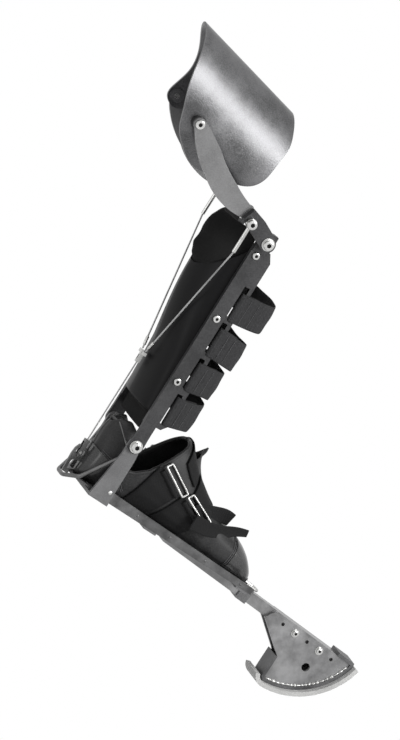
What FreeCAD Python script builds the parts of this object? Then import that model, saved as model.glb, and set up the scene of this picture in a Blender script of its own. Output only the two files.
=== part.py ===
import FreeCAD, Part
import math
import os
import Sketcher

# Knee, ankle and foot brace worn on a bent leg, with a tendon cable and a rocker foot on an extension bar.
# The origin is the knee axis in the middle between the two sides. +X points to the toes, +Z up,
# and -Y is the near side, which is the outer side of the leg. Lengths are millimetres, angles degrees.

SIZES = {
    # knee, ankle and cuff axes
    "shin_length": 349.0,
    "shin_tilt": 32.9,
    "thigh_tilt": -27.5,
    "foot_tilt": 37.3,
    "bar_tilt": 40.5,
    "cuff_pivot_height": 210.0,
    "lever_reach": 43.0,
    "lever_lead": 8.5,
    "running_gap": 0.05,
    "side_gap": 0.3,
    # shin frame
    "frame_inner": 60.0,
    "upright_thickness": 5.0,
    "upright_width": 20.6,
    "upright_boss": 13.2,
    "upright_end_radius": 11.0,
    "head_size": 28.0,
    "head_thickness": 5.0,
    "bolt_first": 25.0,
    "bolt_pitch": 106.5,
    "bolt_radius": 3.0,
    "bolt_head_radius": 5.4,
    "bolt_head_height": 3.6,
    "socket_radius": 2.3,
    "socket_depth": 2.2,
    "strap_plate_thickness": 2.5,
    "strap_plate_front": 28.0,
    "strap_plate_top": 14.0,
    "strap_plate_bottom": 312.0,
    "strap_plate_chamfer": 13.0,
    "slot_first": 97.0,
    "slot_pitch": 60.5,
    "slot_length": 50.0,
    "slot_depth": 8.5,
    "slot_front_web": 6.0,
    # pivots
    "pivot_radius": 5.0,
    "pivot_head_radius": 7.6,
    "pivot_head_height": 5.5,
    "pivot_washer_radius": 9.6,
    "pivot_washer_thickness": 1.2,
    "pivot_nut_thickness": 4.0,
    "bush_wall": 1.5,
    "bush_flange": 1.0,
    # thigh link
    "thigh_bar_thickness": 5.0,
    "lever_thickness": 10.0,
    "lever_width": 25.0,
    "tendon_bolt_radius": 4.0,
    "tendon_bolt_head_radius": 7.4,
    # thigh cuff
    "cuff_wall": 3.5,
    "cuff_half_width": 60.5,
    "cuff_half_depth": 92.0,
    "cuff_centre_low": 46.4,
    "cuff_centre_high": -11.1,
    "cuff_low": 75.0,
    "cuff_high": 320.0,
    "cuff_rear": -33.0,
    "cuff_plate_radius": 9.5,
    # calf shell and liner
    "shell_wall": 2.4,
    "shell_seat_gap": 0.2,
    "shell_front": 8.0,
    "shell_top": 12.0,
    "shell_bottom": 296.0,
    "shell_calf_depth": 54.0,
    "shell_mid_depth": 36.0,
    "shell_ankle_depth": 28.0,
    "liner_wall": 4.0,
    "liner_top": -3.0,
    "liner_bottom": 318.0,
    "liner_bulge": 63.0,
    "liner_side_gap": 6.6,
    # shin straps
    "strap_thickness": 3.0,
    "strap_width": 48.0,
    "strap_reach_first": 84.0,
    "strap_reach_last": 74.0,
    # tendon
    "rod_end_radius": 8.0,
    "rod_end_thickness": 6.0,
    "rod_length": 48.0,
    "rod_radius": 2.8,
    "cable_radius": 1.3,
    "rope_radius": 1.1,
    "yoke_drop": 248.0,
    "buckle_length": 19.0,
    "buckle_width": 6.4,
    "heel_pin_x": -37.5,
    "heel_pin_drop": 59.0,
    "heel_pin_radius": 2.0,
    "clevis_thickness": 1.6,
    "clevis_gap": 0.6,
    "clevis_length": 26.0,
    "clevis_depth": 7.0,
    "yoke_half": 8.0,
    "web_slot_radius": 6.6,
    # stirrup and foot
    "stirrup_thickness": 4.6,
    "stirrup_width": 18.0,
    "sole_drop": 91.0,
    "sole_thickness": 3.0,
    "sole_heel": -34.0,
    "sole_toe": 286.0,
    "sole_half_width": 46.0,
    "rail_inner": 50.8,
    "rail_thickness": 4.0,
    "rail_heel_depth": 16.5,
    "rail_toe_depth": 9.5,
    "rail_heel": 14.0,
    "rail_toe": 284.0,
    "bail_radius": 3.0,
    "web_thickness": 4.0,
    # boot
    "boot_wall": 6.0,
    "boot_sole": 6.0,
    "boot_clearance": 0.3,
    # extension bar and rocker foot
    "bar_depth": 17.0,
    "bar_width": 20.0,
    "bar_top_drop": 75.5,
    "bar_tail": 150.0,
    "bar_end": 491.0,
    "rocker_plate_thickness": 5.0,
    "rocker_start": 346.0,
    "rocker_centre": 394.0,
    "rocker_centre_drop": 59.0,
    "rocker_radius": 105.0,
    "rocker_heel_height": 36.0,
    "rocker_heel_lead": 4.0,
    "base_thickness": 5.0,
    "base_width": 36.0,
    "tread_thickness": 6.5,
    "tread_width": 56.0,
    "curl_radius": 18.0,
    "row_first": 376.0,
    "row_pitch": 23.3,
    "row_drop": 85.8,
    "row_hole_radius": 2.7,
    "view_hole_radius": 6.2,
    "clamp_wall": 3.0,
    "clamp_start": 291.5,
    "clamp_length": 18.0,
}

doc = FreeCAD.newDocument("leg_brace")
sheet = doc.addObject("Spreadsheet::Sheet", "Dims")
parts = []
NEAR, FAR = -1, 1


class Size:
    """A number together with the sheet expression that gives it."""

    def __init__(self, value, text):
        self.value = value
        self.text = text

    def __add__(self, other):
        other = as_size(other)
        return Size(self.value + other.value, f"({self.text} + {other.text})")

    def __sub__(self, other):
        other = as_size(other)
        return Size(self.value - other.value, f"({self.text} - {other.text})")

    def __mul__(self, other):
        other = as_size(other)
        return Size(self.value * other.value, f"{self.text} * {other.text}")

    def __truediv__(self, other):
        other = as_size(other)
        return Size(self.value / other.value, f"{self.text} / {other.text}")

    def __neg__(self):
        return Size(-self.value, f"(0 - {self.text})")

    __radd__ = __add__
    __rmul__ = __mul__

    def __rsub__(self, other):
        return as_size(other) - self


def as_size(value):
    """Wraps a plain number, so that sums of sizes and numbers stay expressions."""
    if isinstance(value, Size):
        return value
    return Size(float(value), f"({value:.6f})")


def sine(angle):
    return Size(math.sin(math.radians(angle.value)), f"sin({angle.text} * 1 deg)")


def cosine(angle):
    return Size(math.cos(math.radians(angle.value)), f"cos({angle.text} * 1 deg)")


class Sizes:
    """Every driving size by its name, as a cell of the sheet."""

    def __init__(self):
        for row, (name, value) in enumerate(SIZES.items(), 1):
            sheet.set(f"A{row}", name)
            sheet.set(f"B{row}", str(value))
            sheet.setAlias(f"B{row}", name)
        doc.recompute()
        for name in SIZES:
            setattr(self, name, Size(float(sheet.get(name)), f"Dims.{name}"))


s = Sizes()


class Frame:
    """The place and tilt of one limb: its local X and Z are turned about Y at its pivot."""

    def __init__(self, pivot_x, pivot_z, tilt):
        self.pivot_x = pivot_x
        self.pivot_z = pivot_z
        self.tilt = tilt

    def bind(self, obj, side_y):
        base = f"create(<<vector>>; {self.pivot_x.text}; {side_y.text}; {self.pivot_z.text})"
        turn = f"create(<<rotation>>; create(<<vector>>; 0; 1; 0); {self.tilt.text})"
        obj.setExpression("Placement", f"create(<<placement>>; {base}; {turn})")

    def placement(self):
        base = FreeCAD.Vector(self.pivot_x.value, 0, self.pivot_z.value)
        return FreeCAD.Placement(base, FreeCAD.Rotation(FreeCAD.Vector(0, 1, 0), self.tilt.value))

    def to_world(self, x, y, z):
        return self.placement().multVec(FreeCAD.Vector(x, y, z))


zero = as_size(0)
ankle_x = -(s.shin_length * sine(s.shin_tilt))
ankle_z = -(s.shin_length * cosine(s.shin_tilt))
SHIN = Frame(zero, zero, s.shin_tilt)
THIGH = Frame(zero, zero, s.thigh_tilt)
FOOT = Frame(ankle_x, ankle_z, s.foot_tilt)
BAR = Frame(ankle_x, ankle_z, s.bar_tilt)

upright_outer = s.frame_inner + s.upright_thickness
head_outer = upright_outer + s.head_thickness
thigh_bar_inner = upright_outer + s.side_gap * 2
lever_inner = thigh_bar_inner + s.thigh_bar_thickness
lever_outer = lever_inner + s.lever_thickness
stirrup_outer = s.frame_inner - s.side_gap
stirrup_inner = stirrup_outer - s.stirrup_thickness
plate_inner = s.frame_inner - s.strap_plate_thickness
shell_half_width = plate_inner - s.shell_seat_gap
# the tendon pin on the lever, in the thigh's frame
lever_angle = s.lever_lead
tendon_pin_x = -(s.lever_reach * sine(lever_angle))
tendon_pin_z = s.lever_reach * cosine(lever_angle)


def keep(obj, label):
    """Names a finished sub-part and lists it for export."""
    obj.Label = label
    parts.append(obj)
    return obj


def arc_middle(start, end, radius, bend):
    """The point halfway along an arc from start to end whose centre lies left (1) or right (-1) of the chord."""
    chord = end.sub(start)
    half = chord.Length / 2
    rise = radius - math.sqrt(max(radius * radius - half * half, 0))
    normal = FreeCAD.Vector(-chord.y, chord.x, 0).normalize()
    return start.add(end).multiply(0.5).sub(normal.multiply(rise * bend))


def draw_outline(sketch, points):
    """Draws a closed outline: each point is (x, z), or (x, z, radius, bend) where an arc leads to it."""
    spots = [FreeCAD.Vector(as_size(p[0]).value, as_size(p[1]).value, 0) for p in points]
    first = sketch.GeometryCount
    count = len(points)
    for i in range(count):
        start, end = spots[i - 1], spots[i]
        if len(points[i]) == 4:
            middle = arc_middle(start, end, as_size(points[i][2]).value, points[i][3])
            sketch.addGeometry(Part.Arc(start, middle, end), False)
        else:
            sketch.addGeometry(Part.LineSegment(start, end), False)
    ends = []
    for i in range(count):
        # an arc in a sketch always runs anticlockwise, so one that bends right is stored end first
        backwards = len(points[i]) == 4 and points[i][3] < 0
        ends.append((2, 1) if backwards else (1, 2))
    for i in range(count):
        following = (i + 1) % count
        sketch.addConstraint(
            Sketcher.Constraint("Coincident", first + i, ends[i][1], first + following, ends[following][0])
        )
    for i in range(count):
        bind_point(sketch, first + i, ends[i][1], points[i][0], points[i][1])
        if len(points[i]) == 4:
            bind_radius(sketch, first + i, points[i][2])


def bind_point(sketch, geometry, end, x, z):
    """Fixes one point of a sketch at a place given by sheet expressions."""
    for kind, size in (("DistanceX", as_size(x)), ("DistanceY", as_size(z))):
        number = sketch.addConstraint(Sketcher.Constraint(kind, -1, 1, geometry, end, size.value))
        sketch.renameConstraint(number, f"{kind}_{number}")
        sketch.setExpression(f"Constraints.{kind}_{number}", size.text)


def bind_radius(sketch, geometry, radius):
    radius = as_size(radius)
    number = sketch.addConstraint(Sketcher.Constraint("Radius", geometry, radius.value))
    sketch.renameConstraint(number, f"radius_{number}")
    sketch.setExpression(f"Constraints.radius_{number}", radius.text)


def draw_circle(sketch, x, z, radius):
    centre = FreeCAD.Vector(as_size(x).value, as_size(z).value, 0)
    number = sketch.addGeometry(Part.Circle(centre, FreeCAD.Vector(0, 0, 1), as_size(radius).value), False)
    bind_point(sketch, number, 3, x, z)
    bind_radius(sketch, number, radius)


def new_sketch(body, role, name):
    """A sketch on one of the body's own origin planes."""
    plane = [item for item in body.Origin.OriginFeatures if item.Role == role][0]
    sketch = body.newObject("Sketcher::SketchObject", name)
    sketch.AttachmentSupport = [(plane, "")]
    sketch.MapMode = "FlatFace"
    return sketch


def pad_plate(label, frame, side, inner, thickness, outline, holes=(), windows=(), corners=()):
    """A flat plate on one side of the leg: an outline padded outwards, with holes, windows and rounded corners."""
    body = doc.addObject("PartDesign::Body", label)
    sketch = new_sketch(body, "XZ_Plane", f"{label}_outline")
    draw_outline(sketch, outline)
    for hole in holes:
        draw_circle(sketch, *hole)
    for window in windows:
        draw_outline(sketch, window)
    pad = body.newObject("PartDesign::Pad", f"{label}_pad")
    pad.Profile = sketch
    pad.setExpression("Length", as_size(thickness).text)
    pad.Reversed = side == FAR
    body.Tip = pad
    sketch.Visibility = False
    doc.recompute()
    for number, (radius, spots) in enumerate(corners):
        base = body.Tip
        edges = [edge_at(base, spot) for spot in spots]
        fillet = body.newObject("PartDesign::Fillet", f"{label}_round_{number}")
        fillet.Base = (base, edges)
        fillet.setExpression("Radius", as_size(radius).text)
        body.Tip = fillet
        doc.recompute()
    frame.bind(body, as_size(inner) * side)
    return keep(body, label)


def edge_at(feature, spot):
    """The name of the edge that crosses the plate at a corner of its outline."""
    x, z = as_size(spot[0]).value, as_size(spot[1]).value
    for number, edge in enumerate(feature.Shape.Edges, 1):
        a, b = edge.Vertexes[0].Point, edge.Vertexes[-1].Point
        if abs(a.x - x) + abs(a.z - z) < 0.02 and abs(b.x - x) + abs(b.z - z) < 0.02 and abs(a.y - b.y) > 0.1:
            return f"Edge{number}"
    return None


def turned(profile):
    """A solid of revolution about the Y axis, from (radius, y) points."""
    points = [FreeCAD.Vector(r, y, 0) for r, y in profile]
    face = Part.Face(Part.makePolygon(points + [points[0]]))
    return face.revolve(FreeCAD.Vector(0, 0, 0), FreeCAD.Vector(0, 1, 0), 360)


def socket_bolt(radius, head_radius, head_height, length):
    """A round-headed bolt along Y: its head stands towards -Y from y=0, its shank runs to +Y."""
    dome = head_height * 0.25
    body = turned([
        (0, -head_height), (head_radius - dome * 1.6, -head_height), (head_radius - dome * 0.4, -head_height + dome * 0.5),
        (head_radius, -head_height + dome * 1.5), (head_radius, 0), (radius, 0), (radius, length), (0, length),
    ])
    key = Part.Face(Part.makePolygon([
        FreeCAD.Vector(
            head_radius * 0.48 * math.cos(math.radians(60 * k)), -head_height,
            head_radius * 0.48 * math.sin(math.radians(60 * k)),
        )
        for k in range(7)
    ])).extrude(FreeCAD.Vector(0, head_height * 0.6, 0))
    return body.cut(key)


def ring(inner, outer, start, length):
    """A washer or bush about Y from y=start to y=start+length."""
    return turned([(inner, start), (outer, start), (outer, start + length), (inner, start + length)])


def on_side(shape, side, frame, x, z, face):
    """Puts a near-side shape at (x, z) with its y=0 at the face's distance from the middle, mirrored for the far side."""
    moved = shape.copy()
    moved.translate(FreeCAD.Vector(as_size(x).value, -as_size(face).value, as_size(z).value))
    if side == FAR:
        moved = moved.mirror(FreeCAD.Vector(0, 0, 0), FreeCAD.Vector(0, 1, 0))
    moved.Placement = frame.placement().multiply(moved.Placement)
    return moved


def feature(label, shape):
    """Keeps a shape that Part's own functions made, as one sub-part."""
    obj = doc.addObject("Part::Feature", label)
    obj.Shape = shape
    return keep(obj, label)


def group(label, shapes):
    """Keeps several separate solids as one sub-part."""
    return feature(label, Part.makeCompound(shapes))


# Shin frame

def bolt_stations():
    return [-(s.bolt_first + s.bolt_pitch * k) for k in range(3)]


def make_uprights():
    """Flat side bars from the knee axis to the ankle axis, with a rounded ankle end."""
    half = s.upright_width / 2
    tip = s.upright_end_radius
    shoulder = s.shin_length - 14
    outline = [
        (-half, -(shoulder - 4)), (-tip, -s.shin_length), (0, -(s.shin_length + tip), tip, 1),
        (tip, -s.shin_length, tip, 1), (half, -(shoulder - 4)), (half, s.head_size / 2), (-half, s.head_size / 2),
    ]
    for side, word in ((NEAR, "near"), (FAR, "far")):
        holes = [(0, z, s.bolt_radius + 0.2) for z in bolt_stations()]
        holes += [(0, 0, s.pivot_radius + s.running_gap), (0, -s.shin_length, s.pivot_radius + s.bush_wall)]
        pad_plate(f"upright_{word}", SHIN, side, s.frame_inner, s.upright_thickness, outline, holes)


def make_knee_heads():
    """Square head plates that thicken the uprights round the knee axis."""
    half = s.head_size / 2
    lower = s.bolt_first - s.bolt_head_radius - 1
    outline = [(-half + 3, -lower), (half, -lower), (half, half), (-half + 3, half)]
    for side, word in ((NEAR, "near"), (FAR, "far")):
        holes = [(0, 0, s.pivot_radius + s.running_gap)]
        corners = [(2.0, [(-half + 3, half), (half, half)])]
        pad_plate(f"knee_head_{word}", SHIN, side, upright_outer, s.head_thickness, outline, holes, (), corners)


def slot_window(z):
    front = s.strap_plate_front - s.slot_front_web
    back = front - s.slot_depth
    low, high = z - s.slot_length / 2, z + s.slot_length / 2
    return [(back, low), (front, low), (front, high), (back, high)]


def make_strap_plates():
    """Thin plates behind the uprights, with a row of slots along their front for the shin straps."""
    back = -(s.upright_width / 2)
    front = s.strap_plate_front
    top, bottom, cut = s.strap_plate_top, s.strap_plate_bottom, s.strap_plate_chamfer
    outline = [
        (back, -bottom), (front - cut * 0.6, -bottom), (front, -(bottom - cut * 0.7)), (front, -(top + cut)),
        (front - cut * 0.6, -top), (back, -top),
    ]
    slots = [slot_window(-(s.slot_first + s.slot_pitch * k)) for k in range(4)]
    for side, word in ((NEAR, "near"), (FAR, "far")):
        holes = [(0, z, s.bolt_radius + 0.2) for z in bolt_stations()]
        pad_plate(f"strap_plate_{word}", SHIN, side, plate_inner, s.strap_plate_thickness, outline, holes, slots)


def make_upright_bolts():
    """Socket bolts that hold upright, strap plate and calf shell together, each with its flanged nut inside."""
    seat = shell_half_width - s.shell_wall
    reach = upright_outer - seat + 1.4
    bolts, nuts = [], []
    for z in bolt_stations():
        for side in (NEAR, FAR):
            bolt = socket_bolt(
                s.bolt_radius.value, s.bolt_head_radius.value, s.bolt_head_height.value, reach.value
            )
            bolts.append(on_side(bolt, side, SHIN, 0, z, upright_outer))
            flange = ring(s.bolt_radius.value, s.bolt_radius.value + 2.4, 0, 1.4)
            nuts.append(on_side(flange, side, SHIN, 0, z, seat - 0.1))
    group("upright_bolts", bolts)
    group("upright_nuts", nuts)


def half_band(half_width, depth, front, wall, z):
    """A closed U of even wall at height z: straight lips at the front and a back with narrow shoulders."""
    lip = 6.0
    rows = []
    for wide, deep in ((half_width, depth), (half_width - wall, depth - wall)):
        row = [FreeCAD.Vector(front, -wide, z)]
        for k in range(17):
            angle = math.pi * k / 16
            across = math.copysign(abs(math.cos(angle)) ** 1.4, math.cos(angle))
            row.append(FreeCAD.Vector(-lip - (deep - lip) * math.sin(angle), -wide * across, z))
        rows.append(row + [FreeCAD.Vector(front, wide, z)])
    points = rows[0] + rows[1][::-1]
    return Part.makePolygon(points + [points[0]])


def open_shell(stations, half_width, front, wall):
    """A half-round shell of even wall, open at its front and both ends, from (height, depth) stations."""
    bands = [half_band(half_width, depth, front, wall, z) for z, depth in stations]
    return Part.makeLoft(bands, True, True)


def closed_band(outer, inner):
    """A closed wire from an outer and an inner row of points, each smooth, joined by short straight ends."""
    out_curve = Part.BSplineCurve()
    out_curve.interpolate(outer)
    in_curve = Part.BSplineCurve()
    in_curve.interpolate(inner)
    return Part.Wire([
        out_curve.toShape(), Part.makeLine(outer[-1], inner[-1]), in_curve.toShape(), Part.makeLine(inner[0], outer[0]),
    ])


def in_frame(frame, shape):
    """Moves a shape drawn in a limb's own coordinates to its place."""
    placed = shape.copy()
    placed.Placement = frame.placement().multiply(placed.Placement)
    return placed


def side_prism(points, half_width):
    """A solid across the leg, from a polygon in the side view."""
    ring_points = [FreeCAD.Vector(x, -half_width, z) for x, z in points]
    face = Part.Face(Part.makePolygon(ring_points + [ring_points[0]]))
    return face.extrude(FreeCAD.Vector(0, 2 * half_width, 0))


def shell_depth(z):
    """How far the calf shell reaches behind the uprights at height z, from its three driving depths."""
    top, middle, bottom = -80.0, -210.0, -s.shell_bottom.value
    a, b, c = s.shell_calf_depth.value, s.shell_mid_depth.value, s.shell_ankle_depth.value
    if z > middle:
        share = (z - middle) / (top - middle)
        return b + (a - b) * math.sin(min(share, 1.0) * math.pi / 2)
    share = (z - bottom) / (middle - bottom)
    return c + (b - c) * share


def calf_shell_shape(extra):
    """The calf shell in the shin's frame, its wall thicker towards the leg by extra."""
    low, high = -s.shell_bottom.value, -s.shell_top.value
    heights = [low + (high - low) * k / 6 for k in range(7)]
    stations = [(z, shell_depth(z)) for z in heights]
    shell = open_shell(stations, shell_half_width.value, s.shell_front.value, s.shell_wall.value + extra)
    scoop = side_prism([(-90, 20), (-90, -92), (-52, -84), (-28, -52), (-12, -30), (0, -12), (2, 20)], 80)
    return shell.cut(scoop)


def make_calf_shell():
    """Thin moulded shell behind the calf, between the uprights, with a scooped top edge."""
    shell = calf_shell_shape(0.0)
    for z in bolt_stations():
        hole = Part.makeCylinder(s.bolt_radius.value + 0.2, 200, FreeCAD.Vector(0, -100, z.value), FreeCAD.Vector(0, 1, 0))
        shell = shell.cut(hole)
    feature("calf_shell", in_frame(SHIN, shell))


def make_calf_liner():
    """Soft sleeve inside the calf shell, which bulges out above its top edge."""
    gap = s.side_gap.value
    half = shell_half_width.value - s.shell_wall.value - s.liner_side_gap.value
    stations = []
    for z, depth in (
        (-s.liner_top.value, s.liner_bulge.value - 7), (-9.0, s.liner_bulge.value - 2), (-32.0, s.liner_bulge.value),
        (-66.0, s.liner_bulge.value - 6), (-84.0, s.liner_bulge.value - 14.5), (-106.7, None), (-154.0, None), (-201.3, None), (-248.7, None),
        (-s.shell_bottom.value, None), (-s.liner_bottom.value, None),
    ):
        if depth is None:
            depth = shell_depth(z) - s.shell_wall.value - 1.4 - 2 * gap
        stations.append((z, depth))
    liner = open_shell(stations, half, s.shell_front.value + 10, s.liner_wall.value)
    liner = liner.cut(side_prism([(-14, 10), (-14, -6), (4, -20), (40, -34), (40, 10)], 80))
    feature("calf_liner", in_frame(SHIN, liner))


def make_shin_straps():
    """Four webbing straps that bridge the front of the shin from one strap plate to the other."""
    for k in range(4):
        z = -(s.slot_first.value + s.slot_pitch.value * k)
        reach = s.strap_reach_first.value + (s.strap_reach_last.value - s.strap_reach_first.value) * k / 3
        front = s.strap_plate_front.value + s.side_gap.value
        depth = reach - front
        wall = s.strap_thickness.value
        half = s.frame_inner.value
        outer, inner = [], []
        for j in range(13):
            angle = math.pi * j / 12
            c, d = math.cos(angle), math.sin(angle)
            outer.append(FreeCAD.Vector(front + depth * d, -half * c, z - s.strap_width.value / 2))
            inner.append(FreeCAD.Vector(front + (depth - wall) * d, -(half - wall) * c, z - s.strap_width.value / 2))
        face = Part.Face(closed_band(outer, inner))
        band = face.extrude(FreeCAD.Vector(0, 0, s.strap_width.value))
        feature(f"shin_strap_{k + 1}", in_frame(SHIN, band))


# Pivots

def make_pivots():
    """Knee and ankle pivot bolts with their washers, bushes and nuts."""
    knee_bolts, knee_washers, knee_nuts, knee_bushes = [], [], [], []
    ankle_bolts, ankle_washers, ankle_nuts, ankle_bushes = [], [], [], []
    r, thick = s.pivot_radius.value, s.pivot_washer_thickness.value
    bush = r + s.bush_wall.value
    for side in (NEAR, FAR):
        grip = (lever_outer - s.frame_inner + s.pivot_washer_thickness + s.pivot_nut_thickness).value
        bolt = socket_bolt(r, s.pivot_head_radius.value, s.pivot_head_height.value, grip)
        knee_bolts.append(on_side(bolt, side, SHIN, 0, 0, lever_outer + s.pivot_washer_thickness + s.side_gap))
        washer = ring(r, s.pivot_washer_radius.value, -thick, thick)
        knee_washers.append(on_side(washer, side, SHIN, 0, 0, lever_outer + s.side_gap))
        nut = ring(r, s.pivot_head_radius.value, 0, s.pivot_nut_thickness.value - 0.3)
        knee_nuts.append(on_side(nut, side, SHIN, 0, 0, s.frame_inner))
        width = (lever_outer + s.side_gap - head_outer).value
        knee_bushes.append(on_side(ring(r, bush, 0, width), side, SHIN, 0, 0, lever_outer + s.side_gap))
        grip = (upright_outer - stirrup_inner + s.pivot_washer_thickness + s.pivot_nut_thickness).value
        bolt = socket_bolt(r, s.pivot_head_radius.value, s.pivot_head_height.value, grip)
        ankle_bolts.append(on_side(bolt, side, SHIN, 0, -s.shin_length, upright_outer + s.pivot_washer_thickness))
        ankle_washers.append(on_side(washer, side, SHIN, 0, -s.shin_length, upright_outer))
        width = s.upright_thickness.value
        ankle_bushes.append(on_side(ring(r, bush, 0, width), side, SHIN, 0, -s.shin_length, upright_outer))
        nut = ring(r, s.pivot_head_radius.value, 0, s.pivot_nut_thickness.value - 0.6)
        ankle_nuts.append(on_side(nut, side, SHIN, 0, -s.shin_length, stirrup_inner - s.side_gap))
    group("knee_pivot_bolts", knee_bolts)
    group("knee_pivot_washers", knee_washers)
    group("knee_pivot_nuts", knee_nuts)
    group("knee_bushes", knee_bushes)
    group("ankle_pivot_bolts", ankle_bolts)
    group("ankle_pivot_washers", ankle_washers)
    group("ankle_pivot_nuts", ankle_nuts)
    group("ankle_bushes", ankle_bushes)


# Thigh link

def make_thigh_bars():
    """Curved side bars that rise from the lever blocks to the cuff pivots, bowed towards the back."""
    top = s.cuff_pivot_height
    end = 9.3
    outline = [
        (-9.0, 34.0), (9.0, 34.0), (8.5, 52.0), (4.2, 100.0, 190.0, -1), (8.5, 160.0, 240.0, -1),
        (10.4, top - 14), (end, top), (0, top + end, end, 1), (-end, top, end, 1),
        (-16.5, top - 15), (-28.4, 136.0, 150.0, 1), (-14.0, 54.0, 110.0, 1),
    ]
    for side, word in ((NEAR, "near"), (FAR, "far")):
        holes = [(0, top, s.tendon_bolt_radius + s.running_gap), (tendon_pin_x, tendon_pin_z, s.tendon_bolt_radius + s.running_gap)]
        pad_plate(f"thigh_bar_{word}", THIGH, side, thigh_bar_inner, s.thigh_bar_thickness, outline, holes)


def make_levers():
    """Lever blocks between the knee axis and the tendon pin, with a square upper end."""
    half = s.lever_width / 2
    top = s.lever_reach + 13
    low = 10.5
    outline = [
        (-12.0, 5.0), (0, -12.5, 13.5, 1), (11.5, -3.0, 13.5, 1), (half + 0.6, 12.0), (half + 0.2, 32.0),
        (8.5, top), (-half, top - 3), (-half - 1, 36.0),
    ]
    for side, word in ((NEAR, "near"), (FAR, "far")):
        holes = [(0, 0, s.pivot_radius + s.bush_wall + s.running_gap)]
        holes += [(tendon_pin_x, tendon_pin_z, s.tendon_bolt_radius + s.running_gap)]
        corners = [(1.6, [(-half, top - 3), (8.5, top)])]
        pad_plate(f"lever_{word}", THIGH, side, lever_inner, s.lever_thickness, outline, holes, (), corners)


def make_thigh_fasteners():
    """Bolts of the tendon pins and of the cuff pivots, and the spacers between bar and cuff."""
    tendon_bolts, cuff_bolts, spacers, plates = [], [], [], []
    for side in (NEAR, FAR):
        grip = (s.rod_end_thickness + lever_outer - thigh_bar_inner + s.side_gap * 2).value
        bolt = socket_bolt(s.tendon_bolt_radius.value, s.tendon_bolt_head_radius.value, 5.0, grip)
        face = lever_outer + s.rod_end_thickness + s.side_gap * 2
        tendon_bolts.append(on_side(bolt, side, THIGH, tendon_pin_x, tendon_pin_z, face))
        bolt = socket_bolt(s.tendon_bolt_radius.value, 7.0, 3.5, (thigh_bar_outer() - cuff_face() + s.cuff_wall + 1.5).value)
        cuff_bolts.append(on_side(bolt, side, THIGH, 0, s.cuff_pivot_height, thigh_bar_outer()))
        depth = (thigh_bar_inner - s.side_gap - cuff_face()).value
        boss = ring((s.tendon_bolt_radius + s.running_gap).value, s.cuff_plate_radius.value, 0, depth)
        spacers.append(on_side(boss, side, THIGH, 0, s.cuff_pivot_height, thigh_bar_inner - s.side_gap))
    group("tendon_pins", tendon_bolts)
    group("cuff_pivot_bolts", cuff_bolts)
    group("cuff_pivot_bosses", spacers)


def thigh_bar_outer():
    return thigh_bar_inner + s.thigh_bar_thickness


def cuff_face():
    """The distance from the middle at which the flat seats on the cuff's sides lie."""
    return s.cuff_half_width - 2.0


def cuff_centre(z):
    share = (z - s.cuff_low.value) / (s.cuff_high.value - s.cuff_low.value)
    return s.cuff_centre_low.value + (s.cuff_centre_high.value - s.cuff_centre_low.value) * share


def cuff_section(z, inset, flare=0.0):
    """One closed elliptical section of the cuff at height z."""
    a = s.cuff_half_depth.value - inset + flare
    b = s.cuff_half_width.value - inset + flare * 0.5
    centre = cuff_centre(z)
    points = [
        FreeCAD.Vector(centre + a * math.cos(2 * math.pi * k / 24), b * math.sin(2 * math.pi * k / 24), z)
        for k in range(24)
    ]
    curve = Part.BSplineCurve()
    curve.interpolate(points, PeriodicFlag=True)
    return Part.Wire([curve.toShape()])


def make_thigh_cuff():
    """Moulded shell round the front of the thigh: open at the back, high at the outer side, low at the inner side."""
    ends = s.cuff_low.value, s.cuff_high.value
    outer = Part.makeLoft([cuff_section(z, 0.0) for z in ends], True, True)
    inner = Part.makeLoft([cuff_section(z, s.cuff_wall.value) for z in ends], True, True)
    shell = outer.cut(inner)
    rear = s.cuff_rear.value
    # what the trim line keeps on the outer side, seen from the side
    side_trim = [
        (150, 134), (127, 120), (112, 108), (96, 97), (70, 89), (44, 80), (22, 81), (6, 92), (-14, 118),
        (rear, 142), (rear - 1, 190), (rear + 6, 213), (-9, 238), (10, 261), (34, 281), (60, 297), (86, 313), (140, 330),
    ]
    inner_trim = [
        (150, 134), (127, 120), (112, 108), (96, 101), (74, 104), (52, 122), (30, 152), (4, 184),
        (-13, 200), (-11, 219), (6, 226), (34, 234), (62, 264), (86, 313), (140, 330),
    ]
    near = trim_prism(side_trim, -100, 0)
    far = trim_prism(inner_trim, 0, 100)
    shell = shell.common(near.fuse(far))
    seat = s.cuff_plate_radius.value + 1.5
    face = cuff_face().value
    for side in (NEAR, FAR):
        shell = shell.fuse(cross_cylinder(seat, side, face - s.cuff_wall.value, face + 1.9))
        shell = shell.cut(cross_cylinder(seat, side, face, face + 20))
        shell = shell.cut(cross_cylinder(s.tendon_bolt_radius.value + s.running_gap.value, side, face - 20, face + 20))
    feature("thigh_cuff", in_frame(THIGH, shell))


def cross_cylinder(radius, side, start, end):
    """A cylinder across the leg at the cuff pivot, between two distances from the middle."""
    spot = FreeCAD.Vector(0, side * start, s.cuff_pivot_height.value)
    return Part.makeCylinder(radius, end - start, spot, FreeCAD.Vector(0, side, 0))


def trim_prism(points, low, high):
    """A solid from a smooth trim line in the side view, between two distances across the leg."""
    spots = [FreeCAD.Vector(x, low, z) for x, z in points]
    curve = Part.BSplineCurve()
    curve.interpolate(spots)
    face = Part.Face(Part.Wire([curve.toShape(), Part.makeLine(spots[-1], spots[0])]))
    return face.extrude(FreeCAD.Vector(0, high - low, 0))


# Tendon

def tendon_points():
    """World places of the tendon's pin centre and of the heel pin, in the middle plane."""
    top = THIGH.to_world(tendon_pin_x.value, 0, tendon_pin_z.value)
    heel = FOOT.to_world(s.heel_pin_x.value, 0, -s.heel_pin_drop.value)
    return top, heel


def rod(start, end, radius):
    return Part.makeCylinder(radius, end.sub(start).Length, start, end.sub(start))


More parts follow.
